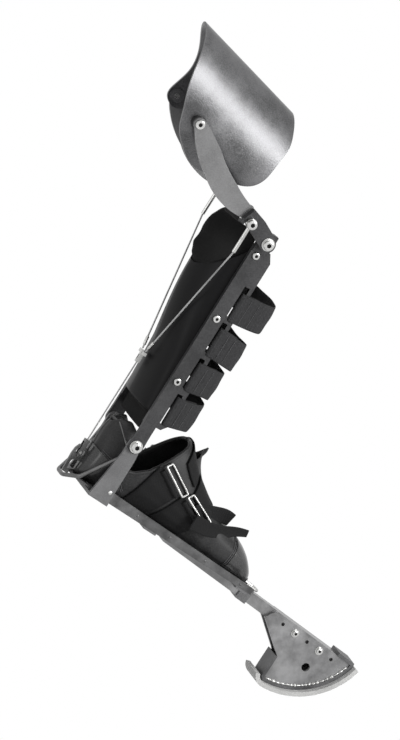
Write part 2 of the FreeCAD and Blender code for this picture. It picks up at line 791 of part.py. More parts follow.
def make_tendon():
    """Two rod ends and cables that join at a yoke, a turnbuckle, and one rope down to the heel clevis."""
    top, heel = tendon_points()
    down = heel.sub(top).normalize()
    yoke = top.add(down * s.yoke_drop.value)
    low_yoke = yoke.add(down * s.buckle_length.value)
    middle = lever_outer + s.side_gap + s.rod_end_thickness / 2
    for side, word in ((NEAR, "near"), (FAR, "far")):
        pin = FreeCAD.Vector(top.x, side * middle.value, top.z)
        target = yoke.add(FreeCAD.Vector(0, side * s.yoke_half.value, 0))
        stem_end = pin.add(down * s.rod_length.value)
        eye = Part.makeCylinder(
            s.rod_end_radius.value, s.rod_end_thickness.value,
            pin.sub(FreeCAD.Vector(0, s.rod_end_thickness.value / 2, 0)), FreeCAD.Vector(0, 1, 0),
        )
        stem = rod(pin.add(down * 3), stem_end, s.rod_radius.value)
        body = eye.fuse(stem)
        bore = Part.makeCylinder(
            s.tendon_bolt_radius.value + s.running_gap.value, 40, pin.sub(FreeCAD.Vector(0, 20, 0)), FreeCAD.Vector(0, 1, 0)
        )
        feature(f"rod_end_{word}", body.cut(bore).removeSplitter())
        along = target.sub(stem_end).normalize()
        feature(f"tendon_cable_{word}", rod(stem_end.add(along * 0.5), target.sub(along * 1.5), s.cable_radius.value))
    make_turnbuckle(yoke, low_yoke, down)
    clevis_top = heel.sub(down * (s.clevis_length.value - 5.0))
    feature("tendon_rope", rod(low_yoke, clevis_top, s.rope_radius.value))
    make_heel_clevis(heel, down, clevis_top)


def make_turnbuckle(yoke, low_yoke, down):
    """A yoke bar across the leg that both cables end in, and a turnbuckle frame between it and the rope."""
    width, length = s.buckle_width.value, s.buckle_length.value
    reach = s.yoke_half.value + 3.0
    block = Part.makeBox(width, width * 0.8, length)
    block.translate(FreeCAD.Vector(-width / 2, -width * 0.4, 0))
    window = Part.makeBox(width * 2, width * 0.36, length - 11)
    window.translate(FreeCAD.Vector(-width, -width * 0.18, 7))
    bar = Part.makeBox(width * 0.8, 2 * reach, 5.0)
    bar.translate(FreeCAD.Vector(-width * 0.4, -reach, 0))
    frame = block.cut(window).fuse(bar)
    turn = FreeCAD.Rotation(FreeCAD.Vector(0, 0, 1), down)
    frame.Placement = FreeCAD.Placement(yoke, turn)
    feature("turnbuckle", frame)


def make_heel_clevis(heel, down, clevis_top):
    """A small fork over the heel web, with its pin."""
    inner = s.web_thickness.value / 2 + s.clevis_gap.value
    outer = inner + s.clevis_thickness.value
    turn = FreeCAD.Rotation(FreeCAD.Vector(0, 0, 1), down)
    length, depth = s.clevis_length.value, s.clevis_depth.value
    cheeks = Part.makeBox(depth, 2 * outer, length)
    cheeks.translate(FreeCAD.Vector(-depth / 2, -outer, 0))
    gap = Part.makeBox(2 * depth, 2 * inner, length)
    gap.translate(FreeCAD.Vector(-depth, -inner, 4))
    fork = cheeks.cut(gap)
    fork.Placement = FreeCAD.Placement(clevis_top, turn)
    radius = s.heel_pin_radius.value
    bore = Part.makeCylinder(radius, 4 * outer, heel.sub(FreeCAD.Vector(0, 2 * outer, 0)), FreeCAD.Vector(0, 1, 0))
    feature("heel_clevis", fork.cut(bore))
    pin = Part.makeCylinder(radius, 2 * outer + 2, heel.sub(FreeCAD.Vector(0, outer + 1, 0)), FreeCAD.Vector(0, 1, 0))
    feature("heel_pin", pin)


# Stirrup, foot plate and rails

def make_stirrup():
    """A bent bar that hangs from the ankle axis and passes under the heel."""
    r = 10.5
    w = s.stirrup_width.value
    drop = s.sole_drop.value + s.stirrup_thickness.value
    # the leg leans back a little from the ankle to the sole
    leg = [(-r, 0), (-9, -20), (-12 - 2, -drop), (w + 4 - 2, -drop), (14, -20), (r, 0)]
    shapes = []
    for side in (NEAR, FAR):
        y = stirrup_inner.value if side == FAR else -stirrup_outer.value
        spots = [FreeCAD.Vector(x, y, z) for x, z in leg]
        top = Part.Arc(spots[-1], FreeCAD.Vector(0, y, r), spots[0]).toShape()
        wire = Part.Wire([Part.makePolygon(spots), top])
        shapes.append(Part.Face(wire.Edges and Part.Wire(Part.__sortEdges__(wire.Edges))).extrude(
            FreeCAD.Vector(0, s.stirrup_thickness.value, 0)))
    cross = Part.makeBox(w + 16, 2 * stirrup_outer.value, s.stirrup_thickness.value)
    cross.translate(FreeCAD.Vector(-14, -stirrup_outer.value, -drop))
    body = shapes[0].fuse([shapes[1], cross])
    bore = Part.makeCylinder(
        s.pivot_radius.value + s.running_gap.value, 200, FreeCAD.Vector(0, -100, 0), FreeCAD.Vector(0, 1, 0)
    )
    feature("stirrup", in_frame(FOOT, body.cut(bore).removeSplitter()))


def make_foot_plate():
    """Flat plate under the boot, narrow at the heel, wide at the ball and round at the toe."""
    half = s.sole_half_width.value
    z = -s.sole_drop.value
    heel, toe = s.sole_heel.value, s.sole_toe.value
    spots = [
        (heel, 0), (heel + 6, 20), (heel + 26, 33), (60, 34), (130, half - 6), (190, half), (240, half - 4),
        (toe - 16, 26), (toe, 0),
    ]
    upper = [FreeCAD.Vector(x, y, z) for x, y in spots]
    lower = [FreeCAD.Vector(x, -y, z) for x, y in reversed(spots)][1:-1]
    curve = Part.BSplineCurve()
    curve.interpolate(upper + lower, PeriodicFlag=True)
    face = Part.Face(Part.Wire([curve.toShape()]))
    feature("foot_plate", in_frame(FOOT, face.extrude(FreeCAD.Vector(0, 0, s.sole_thickness.value))))


def make_rails():
    """Side rails of the foot, deep at the heel and shallow at the toe."""
    bottom = -s.sole_drop
    outline = [
        (s.rail_heel, bottom), (s.rail_toe, bottom), (s.rail_toe, bottom + s.rail_toe_depth),
        (s.rail_heel, bottom + s.rail_heel_depth),
    ]
    for side, word in ((NEAR, "near"), (FAR, "far")):
        corners = [(3.0, [(s.rail_toe, bottom + s.rail_toe_depth)])]
        pad_plate(f"foot_rail_{word}", FOOT, side, s.rail_inner, s.rail_thickness, outline, (), (), corners)


def make_cross_members():
    """Flat straps under the foot plate that carry the rails, and the rivets through stirrup and rails."""
    under = -s.sole_drop.value
    reach = (s.rail_inner + s.rail_thickness).value
    inner = (s.bar_width / 2 + s.side_gap).value
    rear_tie = Part.makeBox(22.0, 2 * reach, 3.0)
    rear_tie.translate(FreeCAD.Vector(88.0, -reach, under - 3.0))
    ties = [in_frame(FOOT, rear_tie)]
    for side in (NEAR, FAR):
        tie = Part.makeBox(20.0, reach - inner, 3.0)
        tie.translate(FreeCAD.Vector(s.rail_toe.value - 26, -reach if side == NEAR else inner, under - 3.0))
        ties.append(in_frame(FOOT, tie))
    group("rail_ties", ties)


def make_heel_bail():
    """Bent rod round the heel, from one leg of the stirrup to the other."""
    y = stirrup_inner.value - s.bail_radius.value
    route = [(-2, -y, -24), (-30, -34, -84), (-44, -11, -98), (-44, 11, -98), (-30, 34, -84), (-2, y, -24)]
    feature("heel_bail", in_frame(FOOT, round_rod(route, s.bail_radius.value, 12.0)))


def round_rod(route, radius, bend):
    """A round rod along straight runs joined by tangent arcs."""
    spots = [FreeCAD.Vector(*p) for p in route]
    edges = []
    start = spots[0]
    for before, corner, after in zip(spots, spots[1:], spots[2:]):
        to_before, to_after = before.sub(corner).normalize(), after.sub(corner).normalize()
        turn = math.pi - to_before.getAngle(to_after)
        cut = bend * math.tan(turn / 2)
        a, b = corner.add(to_before * cut), corner.add(to_after * cut)
        centre_way = to_before.add(to_after).normalize()
        depth = bend / math.cos(turn / 2) - bend
        edges.append(Part.makeLine(start, a))
        edges.append(Part.Arc(a, corner.add(centre_way * depth), b).toShape())
        start = b
    edges.append(Part.makeLine(start, spots[-1]))
    path = Part.Wire(edges)
    way = spots[1].sub(spots[0])
    circle = Part.Wire([Part.makeCircle(radius, spots[0], way)])
    return path.makePipeShell([circle], True, False, 2)


def make_heel_web():
    """Flat web in the middle plane behind the heel, with windows; the tendon's pin works in the top one."""
    half = s.web_thickness.value / 2
    x, z = s.heel_pin_x.value, -s.heel_pin_drop.value
    rim = s.web_slot_radius.value + 3.4
    plate_top = -s.sole_drop.value + s.sole_thickness.value
    heel = s.sole_heel.value
    outline = [
        (x - rim, z + 2), (x - rim + 3, z + rim), (x + 5, z + rim), (-26.5, z + 4), (-26.5, plate_top), (heel - 0.2, plate_top),
        (heel - 0.2, -94.6), (-44, -94.6), (x - rim, z - 8),
    ]
    web = side_prism(outline, half)
    slot = Part.makeCylinder(s.web_slot_radius.value, 4 * half, FreeCAD.Vector(x, -2 * half, z), FreeCAD.Vector(0, 1, 0))
    web = web.cut(slot)
    window = side_prism([(-42, -73), (-30, -70), (-30, -84), (-40, -88)], 2 * half)
    feature("heel_web", in_frame(FOOT, web.cut(window)))


# Boot

BOOT_STATIONS = [
    # x, half width, top
    (-26.0, 15.0, 14.0), (-20.0, 25.0, 20.0), (-6.0, 33.0, 24.0), (20.0, 37.0, 28.0), (55.0, 38.0, 36.0),
    (92.0, 38.5, 44.0), (108.0, 39.0, 36.0), (138.0, 40.5, 3.0), (174.0, 43.0, -17.0), (215.0, 44.5, -30.0),
    (245.0, 42.0, -37.0), (268.0, 35.0, -52.0), (281.0, 24.0, -66.0), (287.0, 14.0, -75.0),
]


def boot_section(x, half, top, grow):
    """One closed section across the foot: flat below, rounded at the sides and top."""
    bottom = -s.sole_drop.value + s.sole_thickness.value + s.boot_clearance.value - min(grow, 0.0)
    top = top + grow
    half = half + grow
    height = top - bottom
    points = []
    for k in range(20):
        angle = 2 * math.pi * k / 20
        c, d = math.cos(angle), math.sin(angle)
        y = half * math.copysign(abs(c) ** 0.75, c)
        z = bottom + height * (0.5 + 0.5 * math.copysign(abs(d) ** 0.8, d))
        points.append(FreeCAD.Vector(x, y, z))
    return Part.makePolygon(points + [points[0]])


def boot_form(grow):
    """The boot's outer form, made larger or smaller all round by grow."""
    wires = []
    first, last = BOOT_STATIONS[0][0], BOOT_STATIONS[-1][0]
    for x, half, top in BOOT_STATIONS:
        share = (x - first) / (last - first)
        wires.append(boot_section(x + grow * (2 * share - 1), half, top, grow))
    return Part.makeLoft(wires, True, True)


def make_boot():
    """Hollow boot with a cut-away collar, and the straps over its instep."""
    outer = boot_form(0.0)
    inner = boot_form(-s.boot_wall.value)
    collar = side_prism([
        (-60, 60), (-60, 22), (0, 20), (9, -8), (19, -43), (51, -24), (65, -1), (89, 41), (96, 80), (-60, 80),
    ], 80)
    mouth = side_prism([(-18, 60), (-18, 10), (60, 6), (88, 38), (92, 80), (-18, 80)], 29)
    boot = outer.cut(inner).cut(collar).cut(mouth)
    feature("boot", in_frame(FOOT, largest(boot)))
    band_outer = boot_form(4.2)
    band_inner = boot_form(0.6)
    band = band_outer.cut(band_inner)
    floor = -s.sole_drop.value + s.rail_heel_depth.value + 2
    for number, (low, high) in enumerate((((40.0, 86.0), (66.0, 108.0)), ((100.0, 152.0), (112.0, 164.0))), 1):
        slab = side_prism([(low[0], floor), (low[1], floor), (high[1] + 14, 40), (high[0] + 14, 40)], 80)
        feature(f"instep_strap_{number}", in_frame(FOOT, largest(band.common(slab))))


def largest(shape):
    """The largest solid of a shape, when a cut leaves crumbs."""
    return max(shape.Solids, key=lambda solid: solid.Volume)


# Extension bar and rocker foot

def plate_line(x):
    """Height of the foot plate's underside at x, in the bar's frame."""
    lean = s.bar_tilt - s.foot_tilt
    return (as_size(x) * sine(lean) - s.sole_drop) / cosine(lean)


def make_extension_bar():
    """Rectangular bar that carries the rocker foot, with a long tapered tail under the foot plate."""
    top, bottom = -s.bar_top_drop, -(s.bar_top_drop + s.bar_depth)
    lean = s.bar_tilt - s.foot_tilt
    meet = (s.sole_drop - s.bar_top_drop * cosine(lean)) / sine(lean)
    outline = [
        (s.bar_tail, bottom), (s.bar_end, bottom), (s.bar_end, top), (meet, top), (s.bar_tail, plate_line(s.bar_tail)),
    ]
    body = pad_plate("extension_bar", BAR, NEAR, -(s.bar_width / 2), s.bar_width, outline, bar_holes())
    return body


def bar_holes():
    return [(s.row_first + s.row_pitch * k, -s.row_drop, s.row_hole_radius) for k in range(5)]


def rocker_point(radius, angle):
    """A point on the rocker's circle, as sizes."""
    turn = as_size(angle)
    return s.rocker_centre + radius * cosine(turn), radius * sine(turn) - s.rocker_centre_drop


def rocker_heel():
    """The corner of the side plates above the heel end of the strap."""
    low = rocker_point(s.rocker_radius, -84.5)
    return low[0] - s.rocker_heel_lead, low[1] + s.rocker_heel_height


def make_rocker_plates():
    """Side plates of the rocker foot, flush with the bar's top edge, with the row of setting holes."""
    top = -s.bar_top_drop
    bottom = -(s.bar_top_drop + s.bar_depth)
    rear_low = rocker_point(s.rocker_radius, -84.5)
    front = rocker_point(s.rocker_radius, -9.0)
    half_way = rocker_point(s.rocker_radius, -46.0)
    outline = [
        (s.rocker_start, bottom), rocker_heel(), rear_low, half_way + (s.rocker_radius, 1), front + (s.rocker_radius, 1), (s.bar_end + 3, top),
        (s.rocker_start + 15, top), (s.rocker_start + 3, bottom + 4, 18.0, 1),
    ]
    holes = bar_holes() + [(s.row_first + s.row_pitch * 3, -s.row_drop - 30.5, s.view_hole_radius)]
    for side, word in ((NEAR, "near"), (FAR, "far")):
        pad_plate(f"rocker_plate_{word}", BAR, side, s.bar_width / 2, s.rocker_plate_thickness, outline, holes)


def make_rocker_base():
    """Curved steel strap welded under the side plates, turned up at the heel end and over at the front."""
    inner, outer = s.rocker_radius, s.rocker_radius + s.base_thickness
    t = s.base_thickness
    heel = rocker_heel()
    rear_in, rear_out = rocker_point(inner, -84.5), rocker_point(outer, -84.5)
    front_in, front_out = rocker_point(inner, -9.0), rocker_point(outer, -9.0)
    mid_in, mid_out = rocker_point(inner, -46.0), rocker_point(outer, -46.0)
    rear_x = rear_in[0]
    outline = [
        rear_out, mid_out + (outer, 1), front_out + (outer, 1), (front_out[0] - 2, -(s.bar_top_drop - t)),
        (s.bar_end - 18, -(s.bar_top_drop - t)), (s.bar_end - 18, -s.bar_top_drop), (s.bar_end + 3, -s.bar_top_drop),
        front_in, mid_in + (inner, -1), rear_in + (inner, -1), (heel[0] - 0.05, heel[1]), (heel[0] - t, heel[1]),
        (rear_x - t, rear_in[1]),
    ]
    pad_plate("rocker_base", BAR, NEAR, -(s.base_width / 2), s.base_width, outline)


def make_tread():
    """Rubber tread under the rocker, wider than the strap, with its heel end curled up."""
    inner = s.rocker_radius + s.base_thickness + 0.05
    outer = inner + s.tread_thickness
    curl = s.curl_radius
    start = -85.0
    low_in, low_out = rocker_point(inner, start), rocker_point(outer, start)
    end_in, end_out = rocker_point(inner, -8.0), rocker_point(outer, -8.0)
    mid_in, mid_out = rocker_point(inner, -46.0), rocker_point(outer, -46.0)
    way = as_size(start)
    centre = (low_out[0] - curl * cosine(way), low_out[1] - curl * sine(way))
    tip = as_size(-160.0)
    small = curl - s.tread_thickness
    tip_out = (centre[0] + curl * cosine(tip), centre[1] + curl * sine(tip))
    tip_in = (centre[0] + small * cosine(tip), centre[1] + small * sine(tip))
    outline = [
        tip_out, low_out + (curl, 1), mid_out + (outer, 1), end_out + (outer, 1), end_in,
        mid_in + (inner, -1), low_in + (inner, -1), tip_in + (small, -1),
    ]
    pad_plate("rocker_tread", BAR, NEAR, -(s.tread_width / 2), s.tread_width, outline)


def make_rocker_bolts():
    """Two bolts through the setting holes, with washers and nuts on the far side."""
    face = s.bar_width / 2 + s.rocker_plate_thickness
    bolts, nuts = [], []
    for k in (1, 3):
        x, z = s.row_first + s.row_pitch * k, -s.row_drop
        length = (face * 2 + 7).value
        bolt = socket_bolt(s.row_hole_radius.value - 0.2, 4.6, 3.4, length)
        washer = ring(s.row_hole_radius.value - 0.2, 6.0, 0, 1.0)
        bolt.translate(FreeCAD.Vector(0, -1.0, 0))
        bolts.append(on_side(bolt, NEAR, BAR, x, z, face))
        washer.translate(FreeCAD.Vector(0, -1.0, 0))
        bolts.append(on_side(washer, NEAR, BAR, x, z, face))
        nut = hex_nut(s.row_hole_radius.value - 0.2, 4.6, 4.5)
        nuts.append(on_side(nut, FAR, BAR, x, z, face))
    group("rocker_bolts", bolts)
    group("rocker_nuts", nuts)


def hex_nut(radius, across, height):
    """A six-sided nut that stands towards -Y from y=0."""
    points = [
        FreeCAD.Vector(across * math.cos(math.radians(60 * k)), 0, across * math.sin(math.radians(60 * k)))
        for k in range(7)
    ]
    block = Part.Face(Part.makePolygon(points)).extrude(FreeCAD.Vector(0, -height, 0))
    return block.cut(Part.makeCylinder(radius, 3 * height, FreeCAD.Vector(0, -2 * height, 0), FreeCAD.Vector(0, 1, 0)))


def make_toe_clamp():
    """Box clamp that ties the bar to the toe of the foot plate, and the rod loop in front of the boot."""
    half = s.bar_width.value / 2
    wall = s.clamp_wall.value
    top, bottom = -s.bar_top_drop.value, -(s.bar_top_drop + s.bar_depth).value
    block = Part.makeBox(s.clamp_length.value, 2 * (half + wall), top - bottom + 2 * wall)
    block.translate(FreeCAD.Vector(s.clamp_start.value, -half - wall, bottom - wall))
    hole = Part.makeBox(s.clamp_length.value * 2, 2 * half, top - bottom)
    hole.translate(FreeCAD.Vector(s.clamp_start.value - 5, -half, bottom))
    feature("toe_clamp", in_frame(BAR, block.cut(hole)))
    z = top + wall + 2.2
    x = s.clamp_start.value
    reach = half + wall - 3
    route = [(x + 2, -reach, z), (x + 24, 2 - reach, z), (x + 24, reach - 2, z), (x + 2, reach, z)]
    feature("toe_loop", in_frame(BAR, round_rod(route, 2.2, 6.0)))


make_uprights()
make_knee_heads()
make_strap_plates()
make_upright_bolts()
make_calf_shell()
make_calf_liner()
make_shin_straps()
make_pivots()
make_thigh_bars()
make_levers()
make_thigh_fasteners()
make_thigh_cuff()
make_tendon()
make_stirrup()
make_foot_plate()
make_rails()
make_cross_members()
make_heel_bail()
make_heel_web()
make_boot()
make_extension_bar()
make_rocker_plates()
make_rocker_base()
make_tread()
make_rocker_bolts()
make_toe_clamp()
doc.recompute()

for item in doc.Objects:
    if "Invalid" in item.State or "Error" in item.State:
        raise RuntimeError(f"{item.Label} did not build: {item.State}")
for item in parts:
    if item.Shape.isNull() or not item.Shape.isValid() or not item.Shape.Solids:
        raise RuntimeError(f"{item.Label} has no valid solid")

os.makedirs("parts", exist_ok=True)
for item in parts:
    item.Shape.exportStep(f"parts/{item.Label}.step")
print(len(parts), "sub-parts")
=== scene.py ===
import math

import bpy
import numpy as np
from bpy.props import FloatProperty, FloatVectorProperty, PointerProperty
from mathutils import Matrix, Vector


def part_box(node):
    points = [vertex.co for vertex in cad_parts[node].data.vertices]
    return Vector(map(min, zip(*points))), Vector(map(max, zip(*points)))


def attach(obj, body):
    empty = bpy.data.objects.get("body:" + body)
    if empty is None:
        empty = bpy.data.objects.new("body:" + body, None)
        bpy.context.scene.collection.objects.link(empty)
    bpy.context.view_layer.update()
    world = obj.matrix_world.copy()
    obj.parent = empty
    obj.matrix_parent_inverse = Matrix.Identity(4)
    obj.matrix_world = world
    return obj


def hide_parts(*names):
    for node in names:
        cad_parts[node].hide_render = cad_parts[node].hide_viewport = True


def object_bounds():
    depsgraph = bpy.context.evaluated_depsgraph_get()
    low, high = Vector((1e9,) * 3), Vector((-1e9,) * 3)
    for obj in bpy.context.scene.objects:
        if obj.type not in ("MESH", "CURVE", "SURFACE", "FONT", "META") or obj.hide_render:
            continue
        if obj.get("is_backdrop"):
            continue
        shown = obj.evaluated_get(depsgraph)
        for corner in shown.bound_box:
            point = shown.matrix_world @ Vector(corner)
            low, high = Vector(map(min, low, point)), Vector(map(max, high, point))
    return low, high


bl_info = {
    "name": "Leg Extension Brace",
    "version": (1, 0, 0),
    "blender": (4, 5, 0),
    "location": "View3D > Sidebar > Brace",
    "description": "Builds the visible pieces, materials, light and camera of a knee, ankle and foot brace",
    "category": "Object",
}

MM = 0.001
NEAR, FAR = -1.0, 1.0
SIDES = ((NEAR, "near"), (FAR, "far"))

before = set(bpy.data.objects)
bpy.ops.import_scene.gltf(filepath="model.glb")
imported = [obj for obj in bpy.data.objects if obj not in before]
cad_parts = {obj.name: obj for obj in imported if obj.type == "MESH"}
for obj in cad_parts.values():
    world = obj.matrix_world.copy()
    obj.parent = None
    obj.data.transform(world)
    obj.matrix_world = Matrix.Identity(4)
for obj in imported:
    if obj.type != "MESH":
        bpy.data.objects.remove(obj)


# Settings

class BraceLimbSettings(bpy.types.PropertyGroup):
    """Lengths and tilts of the posed limbs, in the side view."""

    shin_length: FloatProperty(name="Shin length", description="Knee axis to ankle axis, in mm", default=349.0)
    shin_tilt: FloatProperty(name="Shin tilt", description="Lean of the uprights, in degrees", default=32.9)
    thigh_tilt: FloatProperty(name="Thigh tilt", description="Lean of the side bars, in degrees", default=-27.5)
    sole_tilt: FloatProperty(name="Sole tilt", description="Lean of the foot plate, in degrees", default=37.3)
    bar_tilt: FloatProperty(name="Bar tilt", description="Lean of the extension bar, in degrees", default=40.5)


class BraceShinSettings(bpy.types.PropertyGroup):
    """Sizes of the moulded calf shell, the sleeve inside it and the shin straps."""

    half_width: FloatProperty(name="Half width", description="Middle to the shell's side, in mm", default=57.3)
    shell_wall: FloatProperty(name="Shell wall", description="Wall of the calf shell, in mm", default=2.4)
    shell_bottom: FloatProperty(name="Shell bottom", description="Knee axis to the lower edge, in mm", default=296.0)
    sleeve_wall: FloatProperty(name="Sleeve wall", description="Wall of the soft sleeve, in mm", default=4.0)
    strap_first: FloatProperty(name="First strap", description="Knee axis to the top strap, in mm", default=105.0)
    strap_pitch: FloatProperty(name="Strap pitch", description="Between straps, in mm", default=58.5)
    strap_width: FloatProperty(name="Strap width", description="Width of the webbing, in mm", default=45.0)
    strap_thickness: FloatProperty(name="Strap thickness", description="Thickness of the webbing, in mm", default=2.6)
    strap_reach: FloatProperty(name="Strap reach", description="Shin line to the top strap, in mm", default=80.0)


class BraceBootSettings(bpy.types.PropertyGroup):
    """Sizes of the boot and what is on it."""

    wall: FloatProperty(name="Wall", description="Wall of the boot, in mm", default=4.5)
    heel_bulge: FloatProperty(name="Heel bulge", description="Padding behind the ankle, in mm", default=3.0)
    strap_thickness: FloatProperty(name="Strap thickness", description="Instep straps, in mm", default=3.0)
    wire_radius: FloatProperty(name="Wire radius", description="Wire of the strap frames, in mm", default=1.7)


class BraceColourSettings(bpy.types.PropertyGroup):
    """Linear colours of the surfaces that are seen most."""

    cuff: FloatVectorProperty(
        name="Cuff", description="Grained metal of the cuff", default=(0.1189, 0.1189, 0.1218), subtype="COLOR")
    plates: FloatVectorProperty(
        name="Plates", description="Coated shin and knee plates", default=(0.0462, 0.0462, 0.0476), subtype="COLOR")
    shell: FloatVectorProperty(
        name="Shell", description="Moulded calf shell", default=(0.0052, 0.0052, 0.0056), subtype="COLOR")
    webbing: FloatVectorProperty(
        name="Webbing", description="Straps over the shin", default=(0.042, 0.042, 0.0434), subtype="COLOR")
    boot: FloatVectorProperty(
        name="Boot", description="Leather of the boot", default=(0.027, 0.027, 0.0275), subtype="COLOR")


class BraceLightSettings(bpy.types.PropertyGroup):
    """Power of the lamps and of the room light."""

    key: FloatProperty(name="Key", description="Lamp in front of the outer side", default=82.0, unit="POWER")
    top: FloatProperty(name="Top", description="Lamp above", default=22.0, unit="POWER")
    rim: FloatProperty(name="Rim", description="Lamp behind the heel side", default=9.0, unit="POWER")
    room: FloatProperty(name="Room", description="Strength of the room light", default=0.3)


def settings_of(group):
    """The scene's settings group with this name."""
    return getattr(bpy.context.scene, f"brace_{group}")


def limbs():
    return settings_of("limbs")


# Limb frames

def turned(x, z, tilt):
    """A point of a limb's side view turned about Y: x' = x cos t + z sin t, z' = z cos t - x sin t."""
    t = math.radians(tilt)
    return x * math.cos(t) + z * math.sin(t), z * math.cos(t) - x * math.sin(t)


def in_limb(points, tilt, at_ankle=False):
    """Row-frame metres of limb points in millimetres, an array whose last axis is x, y, z."""
    p = np.asarray(points, dtype=float)
    x, z = turned(p[..., 0], p[..., 2], tilt)
    if at_ankle:
        ankle_x, ankle_z = turned(0.0, -limbs().shin_length, limbs().shin_tilt)
        x, z = x + ankle_x, z + ankle_z
    return np.stack([x, p[..., 1] + 0.0 * x, z], axis=-1) * MM


def shin(points):
    return in_limb(points, limbs().shin_tilt)


def thigh(points):
    return in_limb(points, limbs().thigh_tilt)


def sole(points):
    return in_limb(points, limbs().sole_tilt, True)


def bar(points):
    return in_limb(points, limbs().bar_tilt, True)


# Meshes from arrays

def unit(vectors):
    """Every vector of an array at length one."""
    return vectors / np.maximum(np.linalg.norm(vectors, axis=-1, keepdims=True), 1e-12)


def run_lengths(points):
    """Length along a row of points up to each of them."""
    return np.concatenate([[0.0], np.cumsum(np.linalg.norm(np.diff(points, axis=0), axis=-1))])


def mesh_object(name, points, faces, uv=None, smooth=True):
    """A mesh object at the origin from row-frame points and face rows; uv holds one pair for each point."""
    mesh = bpy.data.meshes.new(name)
    mesh.from_pydata(np.asarray(points, dtype=float).reshape(-1, 3).tolist(), [], [list(f) for f in faces])
    mesh.validate()
    mesh.update()
    if uv is not None:
        layer = mesh.uv_layers.new(name="UVMap")
        loops = np.zeros(len(mesh.loops), dtype=np.int32)
        mesh.loops.foreach_get("vertex_index", loops)
        layer.data.foreach_set("uv", np.asarray(uv, dtype=np.float32)[loops].ravel())
    if smooth:
        mesh.polygons.foreach_set("use_smooth", np.ones(len(mesh.polygons), dtype=bool))
    obj = bpy.data.objects.new(name, mesh)
    bpy.context.scene.collection.objects.link(obj)
    return obj


def grid_faces(rows, columns, wrap_rows=False, wrap_columns=False, offset=0, flip=False):
    """Quads of a grid stored row by row; either direction can close on itself."""
    r = np.arange(rows if wrap_rows else rows - 1)
    c = np.arange(columns if wrap_columns else columns - 1)
    r, c = np.meshgrid(r, c, indexing="ij")
    r2, c2 = (r + 1) % rows, (c + 1) % columns
    quads = np.stack([r * columns + c, r2 * columns + c, r2 * columns + c2, r * columns + c2], axis=-1)
    quads = quads.reshape(-1, 4) + offset
    return quads[:, ::-1] if flip else quads


def slab(name, front, back):
    """A closed sheet with two faces, from two grids of the same size and a rim between their edges."""
    rows, columns = front.shape[:2]
    count = rows * columns
    faces = [grid_faces(rows, columns), grid_faces(rows, columns, offset=count, flip=True)]
    first = np.arange(columns)
    side = np.arange(rows) * columns
    for run, flip in ((first, False), (first + count - columns, True), (side, True), (side + columns - 1, False)):
        a, b = run[:-1], run[1:]
        quads = np.stack([a, b, b + count, a + count], axis=-1)
        faces.append(quads[:, ::-1] if flip else quads)
    v, u = np.meshgrid(run_lengths(front[:, columns // 2]), run_lengths(front[rows // 2]), indexing="ij")
    uv = np.stack([u, v], axis=-1).reshape(-1, 2)
    points = np.concatenate([front.reshape(-1, 3), back.reshape(-1, 3)])
    return mesh_object(name, points, np.concatenate(faces).tolist(), np.concatenate([uv, uv]))


def offset_grid(grid, distance):
    """The grid moved along its own normals, by one distance for each point."""
    return grid + unit(np.cross(np.gradient(grid, axis=0), np.gradient(grid, axis=1))) * distance[..., None]


def band_grids(path, way, out, offsets, bow, thick):
    """Front and back grids of a band: path + way * offsets, bowed along out and thick on either side."""
    base = path[:, None] + way * offsets[..., None]
    return [base + out[:, None] * (bow + face)[..., None] for face in (thick, -thick)]


def spline(points, count, closed=False):
    """Count points along a smooth centripetal curve through a few given points, by cubic Hermite pieces."""
    p = np.asarray(points, dtype=float)
    if closed:
        p = np.concatenate([p, p[:1]])
    seg = np.sqrt(np.linalg.norm(np.diff(p, axis=0), axis=1))
    t = np.concatenate([[0.0], np.cumsum(np.maximum(seg, 1e-6))])
    if closed:
        before = (p[0] - p[-2]) / (t[-1] - t[-2])
        after = (p[1] - p[0]) / (t[1] - t[0])
        slope = np.gradient(p, t, axis=0)
        slope[0] = slope[-1] = (before + after) / 2
    else:
        slope = np.gradient(p, t, axis=0)
    s = np.linspace(t[0], t[-1], count, endpoint=not closed)
    k = np.clip(np.searchsorted(t, s, side="right") - 1, 0, len(t) - 2)
    h = (t[k + 1] - t[k])[:, None]
    w = ((s - t[k])[:, None]) / h
    return (
        (2 * w**3 - 3 * w**2 + 1) * p[k] + (w**3 - 2 * w**2 + w) * h * slope[k]
        + (3 * w**2 - 2 * w**3) * p[k + 1] + (w**3 - w**2) * h * slope[k + 1]
    )


def path_frames(path, closed=False):
    """Two unit directions across a path at each of its points, turned as little as possible along it."""
    tangent = unit(np.roll(path, -1, axis=0) - np.roll(path, 1, axis=0) if closed else np.gradient(path, axis=0))
    rows = [unit(np.cross(tangent[0], (0.0, 1.0, 0.0) if abs(tangent[0][1]) < 0.9 else (1.0, 0.0, 0.0)))]
    for way in tangent[1:]:
        rows.append(unit(rows[-1] - way * np.dot(rows[-1], way)))
    return np.array(rows), np.cross(tangent, rows)


def tube(name, path, radius, sides=12, closed=False):
    """A round tube along a path: p + r (a cos v + b sin v). Radius is a number or one number for each point."""
    a, b = path_frames(path, closed)
    r = np.broadcast_to(radius, (len(path),))[:, None, None]
    v = np.linspace(0, 2 * math.pi, sides, endpoint=False)[None, :, None]
    points = path[:, None] + r * (a[:, None] * np.cos(v) + b[:, None] * np.sin(v))
    faces = grid_faces(len(path), sides, closed, True).tolist()
    if not closed:
        faces.append(list(range(sides))[::-1])
        faces.append(list(range((len(path) - 1) * sides, len(path) * sides)))
    return mesh_object(name, points, faces)


